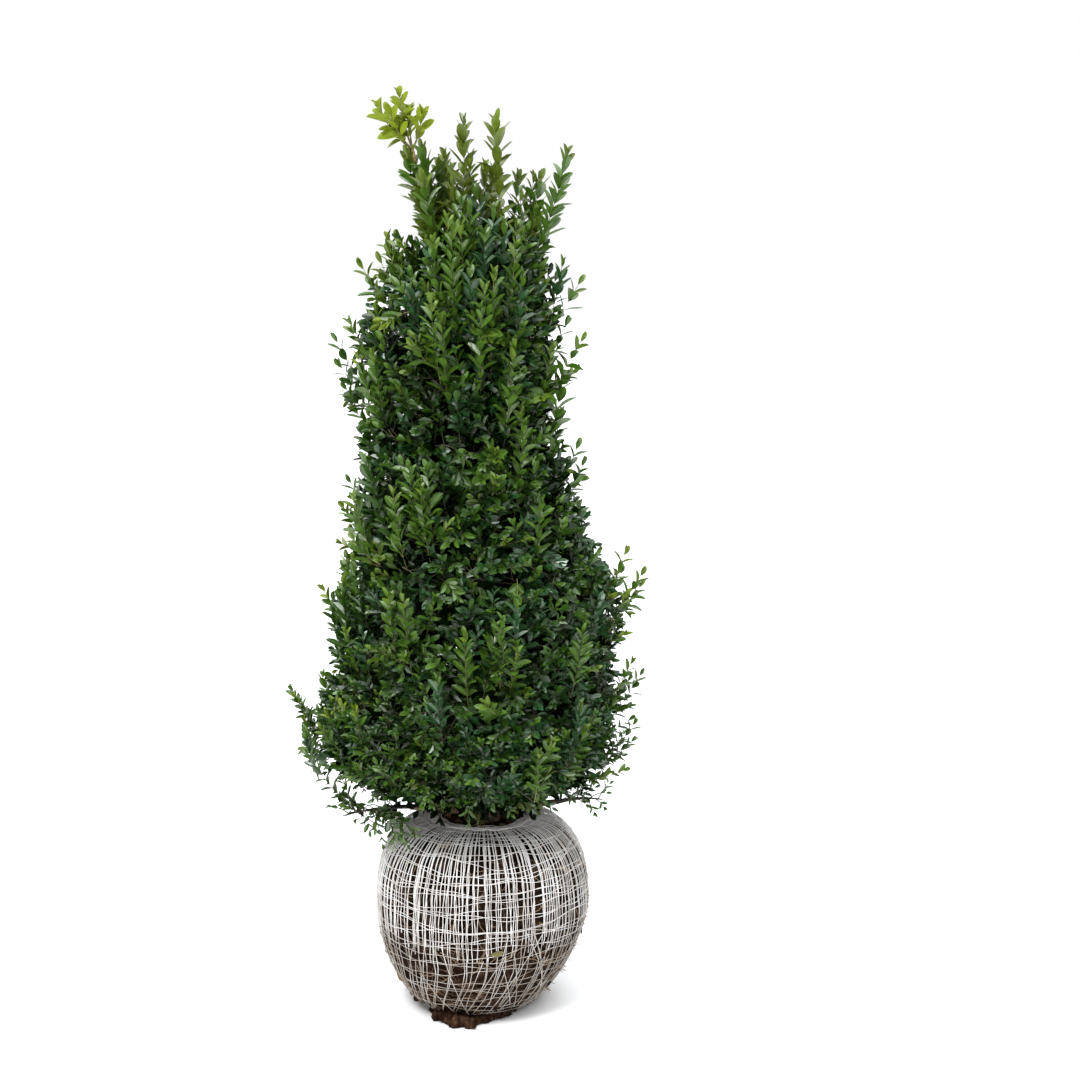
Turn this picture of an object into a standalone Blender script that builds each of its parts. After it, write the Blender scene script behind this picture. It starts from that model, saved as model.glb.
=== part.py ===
"""Boxwood cone lifted from the field, standing on its netted root ball.

A soil ball carries a woven net and one trunk. The trunk carries short rising boughs, and each bough
carries one mass of foliage: a dark core with twigs and leaves that stand out of it. The crown is cut
into tiers by cones that rise outwards, and each tier into sectors, so every mass keeps to its own
space. Low sprays reach out over the ball on bare boughs, and one pale leader stands above the rest.

Metres, +Z up, +X to the right and -Y to the front. The origin is the middle of the ball's flat foot.
"""

import math
import random

import bmesh
import bpy
from mathutils import Matrix, Vector
from mathutils.bvhtree import BVHTree

# Clearance left between solids that touch
GAP = 0.0003

# Root ball: radius and height of each ring, from the rim of the net's mouth down to the flat foot
BALL_RINGS = [
    (0.048, 0.2260),
    (0.075, 0.2210),
    (0.100, 0.2060),
    (0.117, 0.1780),
    (0.1240, 0.1400),
    (0.1210, 0.1000),
    (0.1070, 0.0560),
    (0.0855, 0.0210),
    (0.0600, 0.0),
]
BALL_TOP = BALL_RINGS[0][1]
BALL_BULGE_HEIGHT = 0.125
BALL_LUMP = 0.012
BALL_FOOT_SWELL = 0.10
FOOT_SWELL_AZIMUTH = math.pi

# Netting: columns of cells round the ball, and the strand's half width and thickness
NET_COLUMNS = 18
NET_LIFT = 0.0007
NET_HALF_WIDTH = 0.0016
NET_THICKNESS = 0.0016

# Trunk: height and radius of each ring, with the root flare at the soil and the fork at the top
TRUNK_RINGS = [
    (0.0, 0.0230),
    (0.010, 0.0185),
    (0.030, 0.0150),
    (0.120, 0.0135),
    (0.240, 0.0120),
    (0.360, 0.0100),
    (0.460, 0.0080),
    (0.540, 0.0060),
    (0.585, 0.0040),
]
TRUNK_LEAN = 0.006
TRUNK_SWAY = 0.003

# Crown outline: height, radius of the leafy face, and how far its middle is moved along X
CROWN_OUTLINE = [
    (0.235, 0.106, -0.014),
    (0.260, 0.140, -0.018),
    (0.310, 0.184, -0.020),
    (0.355, 0.184, -0.018),
    (0.410, 0.172, -0.008),
    (0.500, 0.172, 0.000),
    (0.550, 0.152, -0.006),
    (0.600, 0.138, -0.014),
    (0.650, 0.127, -0.022),
    (0.710, 0.116, -0.026),
    (0.830, 0.112, -0.025),
    (0.880, 0.100, -0.012),
    (0.930, 0.078, 0.004),
    (0.965, 0.036, 0.004),
]

# Tiers: name, height of the lower cone at the axis, azimuth of the first sector, sectors, inner
# radius of the cores, shoots in each row on a sector's face, and the rise of each row's shoots
TIER_SLOPE = 0.75
SKIRT_SLOPE = 0.22
TIERS = [
    ("skirt", 0.246, 18.0, 5, 0.050, 3, (-0.30, 0.60)),
    ("lower", 0.272, 65.0, 4, 0.056, 3, (-0.05, 0.35, 0.75)),
    ("middle", 0.440, 20.0, 4, 0.050, 3, (-0.05, 0.35, 0.75)),
    ("upper", 0.600, 10.0, 3, 0.034, 3, (0.05, 0.40, 0.80)),
    ("top", 0.750, 60.0, 3, 0.026, 3, (0.15, 0.75)),
]
SPACE_TOP = 1.2
MEETING_STEPS = 12
SPACE_MARGIN = 0.0022
FACE_TOP = 0.920

# Cores: depth below the leafy face, clearance to the space's sides, and the loft's levels and columns
CORE_DEPTH = 0.046
CORE_CLEARANCE = 0.007
CORE_SIDE_CLEARANCE = 0.004
CORE_LEVELS = 4
CORE_COLUMNS = 4
CORE_END_DEPTH = 0.012
CORE_ROUGHNESS = 0.009
CORE_LEAST_THICKNESS = 0.020

# Boughs, least distance of their feet below the trunk's tip, and the stems that they meet
BOUGH_SHARE_OF_TRUNK = 0.55
BOUGH_MOST_RADIUS = 0.0048
BOUGH_TAPER = 0.72
BOUGH_LEAST_BELOW_FORK = 0.020
STEM_FOOT_OUTSIDE = 0.008
STEM_LENGTH = 0.050

# Twigs: radius at the root and tip, depth of their tips below the face, how far they run in from
# there, the shares of their length that are tested for room, and how far a root is in its core
TWIG_RADIUS = 0.0021
TWIG_TIP_RADIUS = 0.0011
TWIG_TIP_DEPTH = 0.028
TWIG_RUN = 0.052
TWIG_TESTS = (0.3, 0.65, 1.0)
ROOT_SUNK = 0.007
ROOT_STEPS = 24

# Rows of shoots: shift of every other row, spread about their places, least share of a sector's
# width from its sides, spread of their tips within a row's height, and roughness of the face
ROW_SHIFT = 0.2
SHOOT_SPREAD = 0.1
SIDE_SHARE = 0.1
ROW_SPREAD = (0.15, 0.60)
FACE_ROUGHNESS = 0.005

# Leaves: diamond blades, cupped upwards, in opposite pairs down from a twig's tip
LEAF_LENGTH = 0.062
LEAF_WIDTH = 0.040
LEAF_THICKNESS = 0.0014
LEAF_SHARE_APART = 0.41
LEAF_CUP = 0.16
LEAF_ROOT_SUNK = 0.0006
LEAF_TILT = math.radians(54.0)
LEAF_TURN = 0.3
LEAF_TRIES = 8
LEAF_SIZES = (0.86, 1.10)
TIP_TO_PAIR = 0.009
PAIR_SPACING = 0.68
TIP_LEAF_SIZE = 0.9
TIP_LEAF_TILT = math.radians(10.0)
FACE_PAIRS = 1
LIMB_CLEARANCE = 0.0015

# Shoots that stand out of the sides: azimuth in degrees, tip's distance from the axis, tip's height
SIDE_SHOOTS = [
    (190.0, 0.128, 0.872),
    (172.0, 0.146, 0.806),
    (188.0, 0.154, 0.760),
    (196.0, 0.148, 0.630),
    (174.0, 0.158, 0.592),
    (184.0, 0.178, 0.498),
    (182.0, 0.214, 0.368),
    (200.0, 0.206, 0.318),
    (4.0, 0.108, 0.854),
    (350.0, 0.112, 0.790),
    (354.0, 0.182, 0.518),
    (6.0, 0.184, 0.390),
    (284.0, 0.176, 0.460),
    (98.0, 0.176, 0.520),
    (118.0, 0.134, 0.770),
    (130.0, 0.198, 0.350),
]
SIDE_RUN = 0.085
SIDE_RISE = 1.1
SIDE_LEAF = 0.038
SIDE_PAIRS = 2

# Upright leaders of the top tier: the twig's tip, and its foot in the core, as X, Y and Z
LEADERS = [
    ((-0.016, -0.032, 1.018), (-0.018, -0.034, 0.868)),
    ((0.020, -0.022, 1.020), (0.028, -0.030, 0.868)),
    ((0.064, 0.026, 0.958), (0.040, 0.016, 0.862)),
    ((0.092, -0.018, 0.985), (0.046, -0.012, 0.862)),
    ((-0.040, 0.036, 0.985), (-0.028, 0.030, 0.866)),
    ((0.012, 0.052, 0.968), (0.004, 0.038, 0.864)),
    ((-0.056, -0.046, 0.955), (-0.034, -0.030, 0.864)),
]
LEADER_LEAF = 0.041
LEADER_PAIRS = 3

# Low sprays: name, azimuth in degrees, reach from the axis, and fall below the bough's tip
LOW_SPRAYS = [
    ("low_left_spray", 204.0, 0.160, 0.000),
    ("low_right_spray", 350.0, 0.130, -0.006),
    ("low_back_right_spray", 62.0, 0.150, 0.004),
    ("low_back_left_spray", 134.0, 0.155, 0.006),
]
LOW_BOUGH_START = 0.0105
LOW_BOUGH_REACH = 0.098
LOW_BOUGH_END = 0.2500
LOW_COLLAR = 0.012
LOW_SECTOR = 44.0
LOW_LEAF = 0.030
LOW_SIDE_TWIGS = [(0.30, 34.0), (0.65, -36.0)]
LOW_SIDE_REACH = 0.040
LOW_TIP_ROOT = 0.012
LOW_TIP_REACH = 0.025
LOW_TIP_LIFT = 0.005
BALL_CLEARANCE = 0.004

# Pale leader: route of the bare limb past its start, radii, and tips of the three shoots of its head
PALE_ROUTE = [(-0.044, 0.0, 0.862), (-0.061, 0.0, 0.905), (-0.066, 0.0, 0.960), (-0.076, 0.0, 1.012)]
PALE_RADII = [0.0030, 0.0029, 0.0027, 0.0024, 0.0021]
PALE_TIPS = [(-0.088, 0.003, 1.062), (-0.106, 0.010, 1.046), (-0.066, -0.012, 1.040)]
PALE_CENTRE_SHARE = 0.7
PALE_HEAD_REACH = 0.048
PALE_STEM = 0.010
PALE_LEAF = 0.027

LEAF_GREEN = (0.045, 0.115, 0.028, 1.0)
PALE_GREEN = (0.30, 0.44, 0.035, 1.0)
BARK_BROWN = (0.20, 0.13, 0.07, 1.0)
SOIL_BROWN = (0.060, 0.036, 0.024, 1.0)
NET_WHITE = (0.72, 0.71, 0.68, 1.0)


# ---------------------------------------------------------------- scene and materials


def clear_scene():
    """Removes the startup objects."""
    for obj in list(bpy.data.objects):
        bpy.data.objects.remove(obj, do_unlink=True)


def new_collection(name):
    """A new collection in the scene."""
    made = bpy.data.collections.new(name)
    bpy.context.scene.collection.children.link(made)
    return made


def make_material(name, colour, roughness):
    """A Principled material."""
    material = bpy.data.materials.new(name)
    material.use_nodes = True
    shader = material.node_tree.nodes["Principled BSDF"]
    shader.inputs["Base Color"].default_value = colour
    shader.inputs["Roughness"].default_value = roughness
    material.diffuse_color = colour
    return material


def mesh_object(name, bm, material, collection):
    """A mesh object made from bm, which is freed."""
    mesh = bpy.data.meshes.new(name)
    bm.to_mesh(mesh)
    bm.free()
    mesh.materials.append(material)
    obj = bpy.data.objects.new(name, mesh)
    collection.objects.link(obj)
    return obj


# ---------------------------------------------------------------- root ball and netting


def settled(point):
    """A point of the turned ball where the soil has settled: lumps, and a foot swollen to one side."""
    azimuth = math.atan2(point.y, point.x)
    lump = BALL_LUMP * math.sin(3.0 * azimuth + 22.0 * point.z)
    lump += BALL_LUMP * 0.6 * math.sin(5.0 * azimuth - 31.0 * point.z + 1.0)
    low = max(0.0, 1.0 - point.z / BALL_BULGE_HEIGHT)
    swell = BALL_FOOT_SWELL * low * math.cos(azimuth - FOOT_SWELL_AZIMUTH)
    factor = 1.0 + lump + swell
    return Vector((point.x * factor, point.y * factor, point.z))


def ball_node(ring, column):
    """The settled ball's vertex on that ring and column."""
    radius, height = BALL_RINGS[ring]
    azimuth = 2.0 * math.pi * (column % NET_COLUMNS) / NET_COLUMNS
    turned = Vector((radius * math.cos(azimuth), radius * math.sin(azimuth), height))
    return settled(turned)


def build_root_ball(material, collection):
    """The soil ball: its profile turned by a Screw, then settled."""
    profile = [(0.0, BALL_TOP), *BALL_RINGS, (0.0, 0.0)]
    bm = bmesh.new()
    line = [bm.verts.new((radius, 0.0, height)) for radius, height in profile]
    for upper, lower in zip(line, line[1:]):
        bm.edges.new((upper, lower))
    turned = mesh_object("root_ball_profile", bm, material, collection)
    screw = turned.modifiers.new("turn", "SCREW")
    screw.steps = screw.render_steps = NET_COLUMNS
    screw.use_merge_vertices = True
    screw.merge_threshold = 0.0001
    ball = frozen(turned, "root_ball", material, collection)
    for vertex in ball.data.vertices:
        vertex.co = settled(vertex.co)
    return ball


def build_netting(material, collection):
    """The net as one lattice of three-sided strands. Each cell of the ball gets a loop of four foot
    points just clear of the soil, and the ridges between the cells stand a strand's thickness out."""
    rows = len(BALL_RINGS) - 2
    bm = bmesh.new()
    ridges, feet = {}, {}
    for row in range(rows + 1):
        for column in range(NET_COLUMNS):
            corner = ball_node(row, column)
            outward = ball_outward(row, column)
            ridges[row, column] = bm.verts.new(corner + outward * (NET_LIFT + NET_THICKNESS))
    for row in range(-1, rows + 1):
        for column in range(NET_COLUMNS):
            for foot_row, foot_column in ((0, 0), (0, 1), (1, 1), (1, 0)):
                near = row + foot_row
                if 0 <= near <= rows:
                    place = foot_place(row, column, foot_row, foot_column, rows)
                    feet[row, column, foot_row, foot_column] = bm.verts.new(place)

    def ridge(row, column):
        return ridges[row, column % NET_COLUMNS]

    def foot(row, column, foot_row, foot_column):
        return feet[row, column % NET_COLUMNS, foot_row, foot_column]

    for column in range(NET_COLUMNS):
        for row in range(rows):
            # The two strands' flanks that face into this cell from its four sides
            loop = [(0, 0), (0, 1), (1, 1), (1, 0)]
            for (r0, c0), (r1, c1) in zip(loop, loop[1:] + loop[:1]):
                bm.faces.new(
                    (
                        ridge(row + r0, column + c0),
                        ridge(row + r1, column + c1),
                        foot(row, column, r1, c1),
                        foot(row, column, r0, c0),
                    )
                )
            # The soil side of the upright strand on this cell's left
            bm.faces.new(
                (
                    foot(row, column - 1, 0, 1),
                    foot(row, column, 0, 0),
                    foot(row, column, 1, 0),
                    foot(row, column - 1, 1, 1),
                )
            )
        for row in range(rows + 1):
            # The soil side of the hoop below this column's cells, and of the knot at its left end
            bm.faces.new(
                (
                    foot(row - 1, column, 1, 0),
                    foot(row - 1, column, 1, 1),
                    foot(row, column, 0, 1),
                    foot(row, column, 0, 0),
                )
            )
            bm.faces.new(
                (
                    foot(row - 1, column - 1, 1, 1),
                    foot(row - 1, column, 1, 0),
                    foot(row, column, 0, 0),
                    foot(row, column - 1, 0, 1),
                )
            )
        # The outer flank of the first and last hoop, closed at each knot
        for row, cell_row, side in ((0, -1, 1), (rows, rows, 0)):
            bm.faces.new(
                (
                    ridge(row, column),
                    ridge(row, column + 1),
                    foot(cell_row, column, side, 1),
                    foot(cell_row, column, side, 0),
                )
            )
            bm.faces.new(
                (
                    ridge(row, column),
                    foot(cell_row, column, side, 0),
                    foot(cell_row, column - 1, side, 1),
                )
            )
    bmesh.ops.recalc_face_normals(bm, faces=bm.faces)
    return mesh_object("root_ball_netting", bm, material, collection)


def ball_outward(row, column):
    """The ball's outward direction at a vertex, from its neighbours on the rings and columns."""
    upper = ball_node(max(row - 1, 0), column)
    lower = ball_node(row + 1, column)
    left = ball_node(row, column - 1)
    right = ball_node(row, column + 1)
    return (right - left).cross(upper - lower).normalized()


def foot_place(row, column, foot_row, foot_column, rows):
    """A foot point: in from the cell's corner by half a strand, and just clear of the soil."""
    corner = ball_node(row + foot_row, column + foot_column)
    sideways = ball_node(row + foot_row, column + 1 - foot_column) - corner
    if row < 0:
        along = corner - ball_node(1, column + foot_column)
    else:
        along = ball_node(row + 1 - foot_row, column + foot_column) - corner
    outward = ball_outward(row + foot_row, column + foot_column)
    inset = sideways.normalized() + along.normalized()
    return corner + inset * NET_HALF_WIDTH + outward * NET_LIFT


# ---------------------------------------------------------------- limbs


def frozen(obj, name, material, collection):
    """The object as Blender evaluates it, as a plain mesh object of that name. The first is removed."""
    bpy.context.view_layer.update()
    graph = bpy.context.evaluated_depsgraph_get()
    mesh = bpy.data.meshes.new_from_object(obj.evaluated_get(graph))
    mesh.name = name
    mesh.transform(obj.matrix_world)
    mesh.materials.clear()
    mesh.materials.append(material)
    bpy.data.objects.remove(obj, do_unlink=True)
    made = bpy.data.objects.new(name, mesh)
    collection.objects.link(made)
    return made


def build_limb(name, points, radii, material, collection, resolution=1):
    """One tapering limb: a bevelled curve through the points."""
    curve = bpy.data.curves.new(name, "CURVE")
    curve.dimensions = "3D"
    curve.bevel_depth = 1.0
    curve.bevel_resolution = resolution
    curve.use_fill_caps = True
    spline = curve.splines.new("POLY")
    spline.points.add(len(points) - 1)
    for target, point, radius in zip(spline.points, points, radii):
        target.co = (*point, 1.0)
        target.radius = radius
    curve.materials.append(material)
    obj = bpy.data.objects.new(name, curve)
    collection.objects.link(obj)
    return obj


def interpolate(rows, key, column):
    """The value of one column of rows at key, between the rows' first values."""
    if key <= rows[0][0]:
        return rows[0][column]
    for low, high in zip(rows, rows[1:]):
        if key <= high[0]:
            share = (key - low[0]) / (high[0] - low[0])
            return low[column] + share * (high[column] - low[column])
    return rows[-1][column]


def trunk_axis(height):
    """The middle of the trunk at a height above the soil."""
    share = height / TRUNK_RINGS[-1][0]
    x = -TRUNK_LEAN * share
    y = TRUNK_SWAY * math.sin(math.pi * share) * share
    return Vector((x, y, BALL_TOP + GAP + height))


def trunk_radius(height):
    """The trunk's radius at a height above the soil."""
    return interpolate(TRUNK_RINGS, height, 1)


def build_trunk(material, collection):
    """The trunk, from its flat cut on the soil to the fork."""
    points = [trunk_axis(height) for height, _ in TRUNK_RINGS]
    points[1].x, points[1].y = points[0].x, points[0].y
    radii = [radius for _, radius in TRUNK_RINGS]
    curve = build_limb("trunk", points, radii, material, collection, resolution=4)
    return frozen(curve, "trunk", material, collection)


def radial(azimuth, out, up):
    """A vector that runs out from the axis at an azimuth in degrees, and up."""
    turn = math.radians(azimuth)
    return Vector((out * math.cos(turn), out * math.sin(turn), up))


def bough_radius(height):
    """A bough's radius at its foot on the trunk, at a height above the soil."""
    return min(BOUGH_MOST_RADIUS, BOUGH_SHARE_OF_TRUNK * trunk_radius(height))


def seat(obj, trunk, towards):
    """Moves a limb towards the trunk until it is GAP away from it. Returns the move."""
    mesh = obj.data
    points = [vertex.co.copy() for vertex in mesh.vertices]
    points += [(points[first] + points[second]) / 2.0 for first, second in mesh.edge_keys]
    points += [polygon.center.copy() for polygon in mesh.polygons]
    hits = [trunk.ray_cast(point, towards)[3] for point in points]
    move = towards * (min(hit for hit in hits if hit is not None) - GAP)
    mesh.transform(Matrix.Translation(move))
    return move


def build_bough(name, azimuth, height, end_out, end_height, trunk, material, collection):
    """A straight bough seated on the trunk, at a height above the soil, that runs out and up to a place
    at a distance from the axis. Returns its start, end, foot radius and direction."""
    foot = bough_radius(height)
    start = trunk_axis(height) + radial(azimuth, trunk_radius(height) + 2.0 * foot, 0.0)
    end = radial(azimuth, end_out, end_height)
    curve = build_limb(name, [start, end], [foot, foot * BOUGH_TAPER], material, collection)
    bough = frozen(curve, name, material, collection)
    move = seat(bough, trunk, radial(azimuth, -1.0, 0.0))
    return start + move, end + move, foot, (end - start).normalized()


# ---------------------------------------------------------------- crown and its spaces


def crown_radius(height):
    """The radius of the crown's leafy face at a height."""
    return interpolate(CROWN_OUTLINE, height, 1)


def crown_reach(azimuth, height):
    """How far the crown's face is from the axis at an azimuth in degrees and a height."""
    turn = math.radians(azimuth)
    shift = interpolate(CROWN_OUTLINE, height, 2)
    return shift * math.cos(turn) + math.sqrt(crown_radius(height) ** 2 - (shift * math.sin(turn)) ** 2)


def crown_spaces():
    """Every mass's space: heights of its lower and upper cones at the axis, and its azimuths."""
    spaces = []
    for index, (name, low, first, count, inner, columns, rises) in enumerate(TIERS):
        high = TIERS[index + 1][1] if index + 1 < len(TIERS) else SPACE_TOP
        width = 360.0 / count
        for sector in range(count):
            start = first + sector * width
            spaces.append(
                {
                    "name": f"{name}_foliage_{sector + 1}",
                    "bough": f"{name}_bough_{sector + 1}",
                    "low": low,
                    "high": high,
                    "slope": SKIRT_SLOPE if index == 0 else TIER_SLOPE,
                    "start": start,
                    "middle": start + width / 2.0,
                    "end": start + width,
                    "inner": inner,
                    "columns": columns,
                    "rises": rises,
                    "holds": in_sector,
                    "leaves": [],
                }
            )
    return spaces


def low_surface(space, out):
    """The height of the space's lower side at a distance from the axis."""
    return space["low"] + space["slope"] * out


def high_surface(space, out):
    """The height of the space's upper side at a distance from the axis."""
    return space["high"] + TIER_SLOPE * out


def middle_height(space, out):
    """The height midway up the space at a distance from the axis."""
    return (low_surface(space, out) + min(high_surface(space, out), FACE_TOP)) / 2.0


def past_plane(azimuth, point):
    """How far the point is past the upright plane through the axis at an azimuth in degrees."""
    turn = math.radians(azimuth)
    return point.y * math.cos(turn) - point.x * math.sin(turn)


def in_sector(space, point):
    """Whether the point is inside a mass's space, clear of its sides."""
    out = math.hypot(point.x, point.y)
    return (
        point.z > low_surface(space, out) + SPACE_MARGIN
        and point.z < high_surface(space, out) - SPACE_MARGIN
        and past_plane(space["start"], point) > SPACE_MARGIN
        and past_plane(space["end"], point) < -SPACE_MARGIN
    )


def in_low_space(space, point):
    """Whether the point is inside a low spray's space, below the skirt and outside the netted ball."""
    out = math.hypot(point.x, point.y)
    heights = [(height, radius) for radius, height in BALL_RINGS[::-1]]
    ball = interpolate(heights, point.z, 1) if point.z < BALL_TOP else 0.0
    over = BALL_TOP + BALL_CLEARANCE if out < BALL_RINGS[0][0] else 0.0
    return (
        over < point.z < TIERS[0][1] + SKIRT_SLOPE * out - SPACE_MARGIN
        and out > ball * (1.0 + 2.0 * BALL_LUMP) + BALL_CLEARANCE
        and past_plane(space["start"], point) > SPACE_MARGIN
        and past_plane(space["end"], point) < -SPACE_MARGIN
    )


def in_pale_head(space, point):
    """Whether the point is inside the round space of the pale leader's head."""
    return (point - space["centre"]).length < PALE_HEAD_REACH


def near_limb(point, limbs):
    """Whether the point is inside a limb or nearly touches it. A limb is two ends and a radius."""
    for start, end, radius in limbs:
        along = end - start
        share = max(0.0, min(1.0, (point - start).dot(along) / along.length_squared))
        if (start + along * share - point).length < radius + LIMB_CLEARANCE:
            return True
    return False


def fits(space, points, limbs):
    """Whether a twig or leaf with these points keeps to the space and clear of every limb."""
    return all(space["holds"](space, point) and not near_limb(point, limbs) for point in points)


# ---------------------------------------------------------------- pieces of a mass


def meeting_height(surface, space, azimuth, depth):
    """The height at which a side of the space meets the surface that lies depth below the crown's face."""
    height = surface(space, 0.0)
    for _ in range(MEETING_STEPS):
        height = min(surface(space, crown_reach(azimuth, height) - depth), FACE_TOP)
    return height


def core_point(space, level, column, inner, chance):
    """A point of the core: level up the space, column across it, on its inner or its outer face."""
    out = space["inner"] if inner else crown_radius(space["low"]) - CORE_DEPTH
    half = math.radians(space["end"] - space["start"]) / 2.0 - math.asin(CORE_SIDE_CLEARANCE / out)
    azimuth = space["middle"] + math.degrees(half) * (2.0 * column / (CORE_COLUMNS - 1) - 1.0)
    if inner:
        low = low_surface(space, space["inner"])
        high = min(high_surface(space, space["inner"]), FACE_TOP)
    else:
        depth = CORE_DEPTH + (CORE_END_DEPTH if level in (0, CORE_LEVELS - 1) else 0.0)
        low = meeting_height(low_surface, space, azimuth, depth)
        high = meeting_height(high_surface, space, azimuth, depth)
    height = low + CORE_CLEARANCE + (high - low - 2.0 * CORE_CLEARANCE) * level / (CORE_LEVELS - 1)
    if not inner:
        depth += chance.uniform(-CORE_ROUGHNESS, CORE_ROUGHNESS)
        out = max(crown_reach(azimuth, height) - depth, space["inner"] + CORE_LEAST_THICKNESS)
    return radial(azimuth, out, height)


def build_core(space, chance, material, collection):
    """The dense inside of a mass: a block lofted between the tilted sections of its space."""
    bm = bmesh.new()
    rings = []
    for level in range(CORE_LEVELS):
        columns = range(CORE_COLUMNS)
        outer = [core_point(space, level, column, False, chance) for column in columns]
        inner = [core_point(space, level, column, True, chance) for column in columns]
        rings.append([bm.verts.new(point) for point in outer + inner[::-1]])
    count = 2 * CORE_COLUMNS
    for lower, upper in zip(rings, rings[1:]):
        for index in range(count):
            after = (index + 1) % count
            bm.faces.new((lower[index], lower[after], upper[after], upper[index]))
    for ring in (rings[0][::-1], rings[-1]):
        for index in range(CORE_COLUMNS - 1):
            far = count - 1 - index
            bm.faces.new((ring[index], ring[index + 1], ring[far - 1], ring[far]))
    bmesh.ops.triangulate(bm, faces=bm.faces)
    bmesh.ops.recalc_face_normals(bm, faces=bm.faces)
    return mesh_object("core", bm, material, collection)


def build_twig(start, end, radius, tip_radius, sides, material, collection):
    """A tapering twig with flat ends."""
    bm = bmesh.new()
    bmesh.ops.create_cone(
        bm,
        cap_ends=True,
        segments=sides,
        radius1=radius,
        radius2=tip_radius,
        depth=(end - start).length,
    )
    turn = (end - start).to_track_quat("Z", "Y").to_matrix().to_4x4()
    bm.transform(Matrix.Translation((start + end) / 2.0) @ turn)
    return mesh_object("twig", bm, material, collection)


def leaf_frame(root, blade, upper):
    """A matrix whose X runs along the blade from its root, with Z as near to upper as it can be."""
    x_axis = blade.normalized()
    y_axis = upper.cross(x_axis).normalized()
    matrix = Matrix((x_axis, y_axis, x_axis.cross(y_axis))).transposed().to_4x4()
    matrix.translation = root
    return matrix


def leaf_shape(point, length, width):
    """A point of the unit sphere moved to the leaf: long, flat and cupped, with its root at X = 0."""
    across = point.y * width / 2.0
    lift = abs(across) * 2.0 * LEAF_CUP + point.z * LEAF_THICKNESS / 2.0
    return Vector(((1.0 + point.x) / 2.0 * length, across, lift))


def leaf_corners(matrix, length, width):
    """Places that a leaf reaches: its two shoulders, its middle and its tip."""
    unit = [(0.0, 1.0), (0.0, -1.0), (0.0, 0.0), (1.0, 0.0), (0.5, 0.5), (0.5, -0.5)]
    return [matrix @ leaf_shape(Vector((x, y, 0.0)), length, width) for x, y in unit]


def build_leaf(matrix, length, width, material, collection):
    """A leaf of eight faces, from a sphere of four segments and two rings."""
    bm = bmesh.new()
    bmesh.ops.create_uvsphere(bm, u_segments=4, v_segments=2, radius=1.0)
    for vertex in bm.verts:
        vertex.co = leaf_shape(vertex.co, length, width)
    bm.transform(matrix)
    return mesh_object("leaf", bm, material, collection)


def grow_leaf(space, place, direction, side, tilt, size, chance, limbs, material, pieces):
    """One leaf off a twig at place, turned about the twig until it fits. Returns whether it was grown."""
    for attempt in range(LEAF_TRIES):
        turn = chance.uniform(-LEAF_TURN, LEAF_TURN) * (1 + attempt)
        turn = Matrix.Rotation(turn, 3, direction)
        out = turn @ side
        lean = tilt * chance.uniform(*LEAF_SIZES)
        blade = direction * math.cos(lean) + out * math.sin(lean)
        upper = direction * math.sin(lean) - out * math.cos(lean)
        length = size * chance.uniform(*LEAF_SIZES)
        matrix = leaf_frame(place - blade * LEAF_ROOT_SUNK, blade, upper)
        width = length * LEAF_WIDTH / LEAF_LENGTH
        middle = matrix @ Vector((length / 2.0, 0.0, 0.0))
        crowded = any((middle - other).length < LEAF_SHARE_APART * length for other in space["leaves"])
        if not crowded and fits(space, leaf_corners(matrix, length, width), limbs):
            build_leaf(matrix, length, width, material, pieces)
            space["leaves"].append(middle)
            return True
    return False


def grow_shoot(space, root, tip, pairs, size, chance, limbs, material, pieces):
    """A twig from root to tip with opposite pairs of leaves down from its tip, each pair a quarter
    turn from the last, and one leaf at the tip. What leaves the space or meets a limb is skipped."""
    direction = (tip - root).normalized()
    if not fits(space, [root.lerp(tip, share) for share in TWIG_TESTS], limbs):
        return 0
    build_twig(root, tip, TWIG_RADIUS, TWIG_TIP_RADIUS, 3, material, pieces)
    side = direction.orthogonal().normalized()
    side = Matrix.Rotation(chance.uniform(0.0, math.pi), 3, direction) @ side
    grown = 0
    for pair in range(pairs):
        place = tip - direction * (TIP_TO_PAIR + pair * size * PAIR_SPACING)
        side = Matrix.Rotation(math.pi / 2.0, 3, direction) @ side
        for hand in (1.0, -1.0):
            rest = (direction, side * hand, LEAF_TILT, size, chance, limbs, material, pieces)
            grown += grow_leaf(space, place, *rest)
    rest = (direction, side, TIP_LEAF_TILT, size * TIP_LEAF_SIZE, chance, limbs, material, pieces)
    return grown + grow_leaf(space, tip - direction * TWIG_TIP_RADIUS, *rest)


# ---------------------------------------------------------------- masses


def face_shoots(space, chance):
    """Root and tip of each shoot on a mass's face, in rows that are half a step apart."""
    width = space["end"] - space["start"]
    shoots = []
    rows = len(space["rises"])
    for row, rise in enumerate(space["rises"]):
        for column in range(space["columns"]):
            shift = ROW_SHIFT * (-1) ** row + chance.uniform(-SHOOT_SPREAD, SHOOT_SPREAD)
            share = (column + 0.5 + shift) / space["columns"]
            azimuth = space["start"] + width * min(max(share, SIDE_SHARE), 1.0 - SIDE_SHARE)
            low = meeting_height(low_surface, space, azimuth, TWIG_TIP_DEPTH)
            high = meeting_height(high_surface, space, azimuth, TWIG_TIP_DEPTH)
            tip_height = low + (row + chance.uniform(*ROW_SPREAD)) * (high - low) / rows
            depth = TWIG_TIP_DEPTH + chance.uniform(-FACE_ROUGHNESS, FACE_ROUGHNESS)
            out = crown_reach(azimuth, tip_height) - depth
            tip = radial(azimuth, out, tip_height)
            shoots.append((tip - radial(azimuth, TWIG_RUN, TWIG_RUN * rise), tip))
    return shoots


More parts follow.
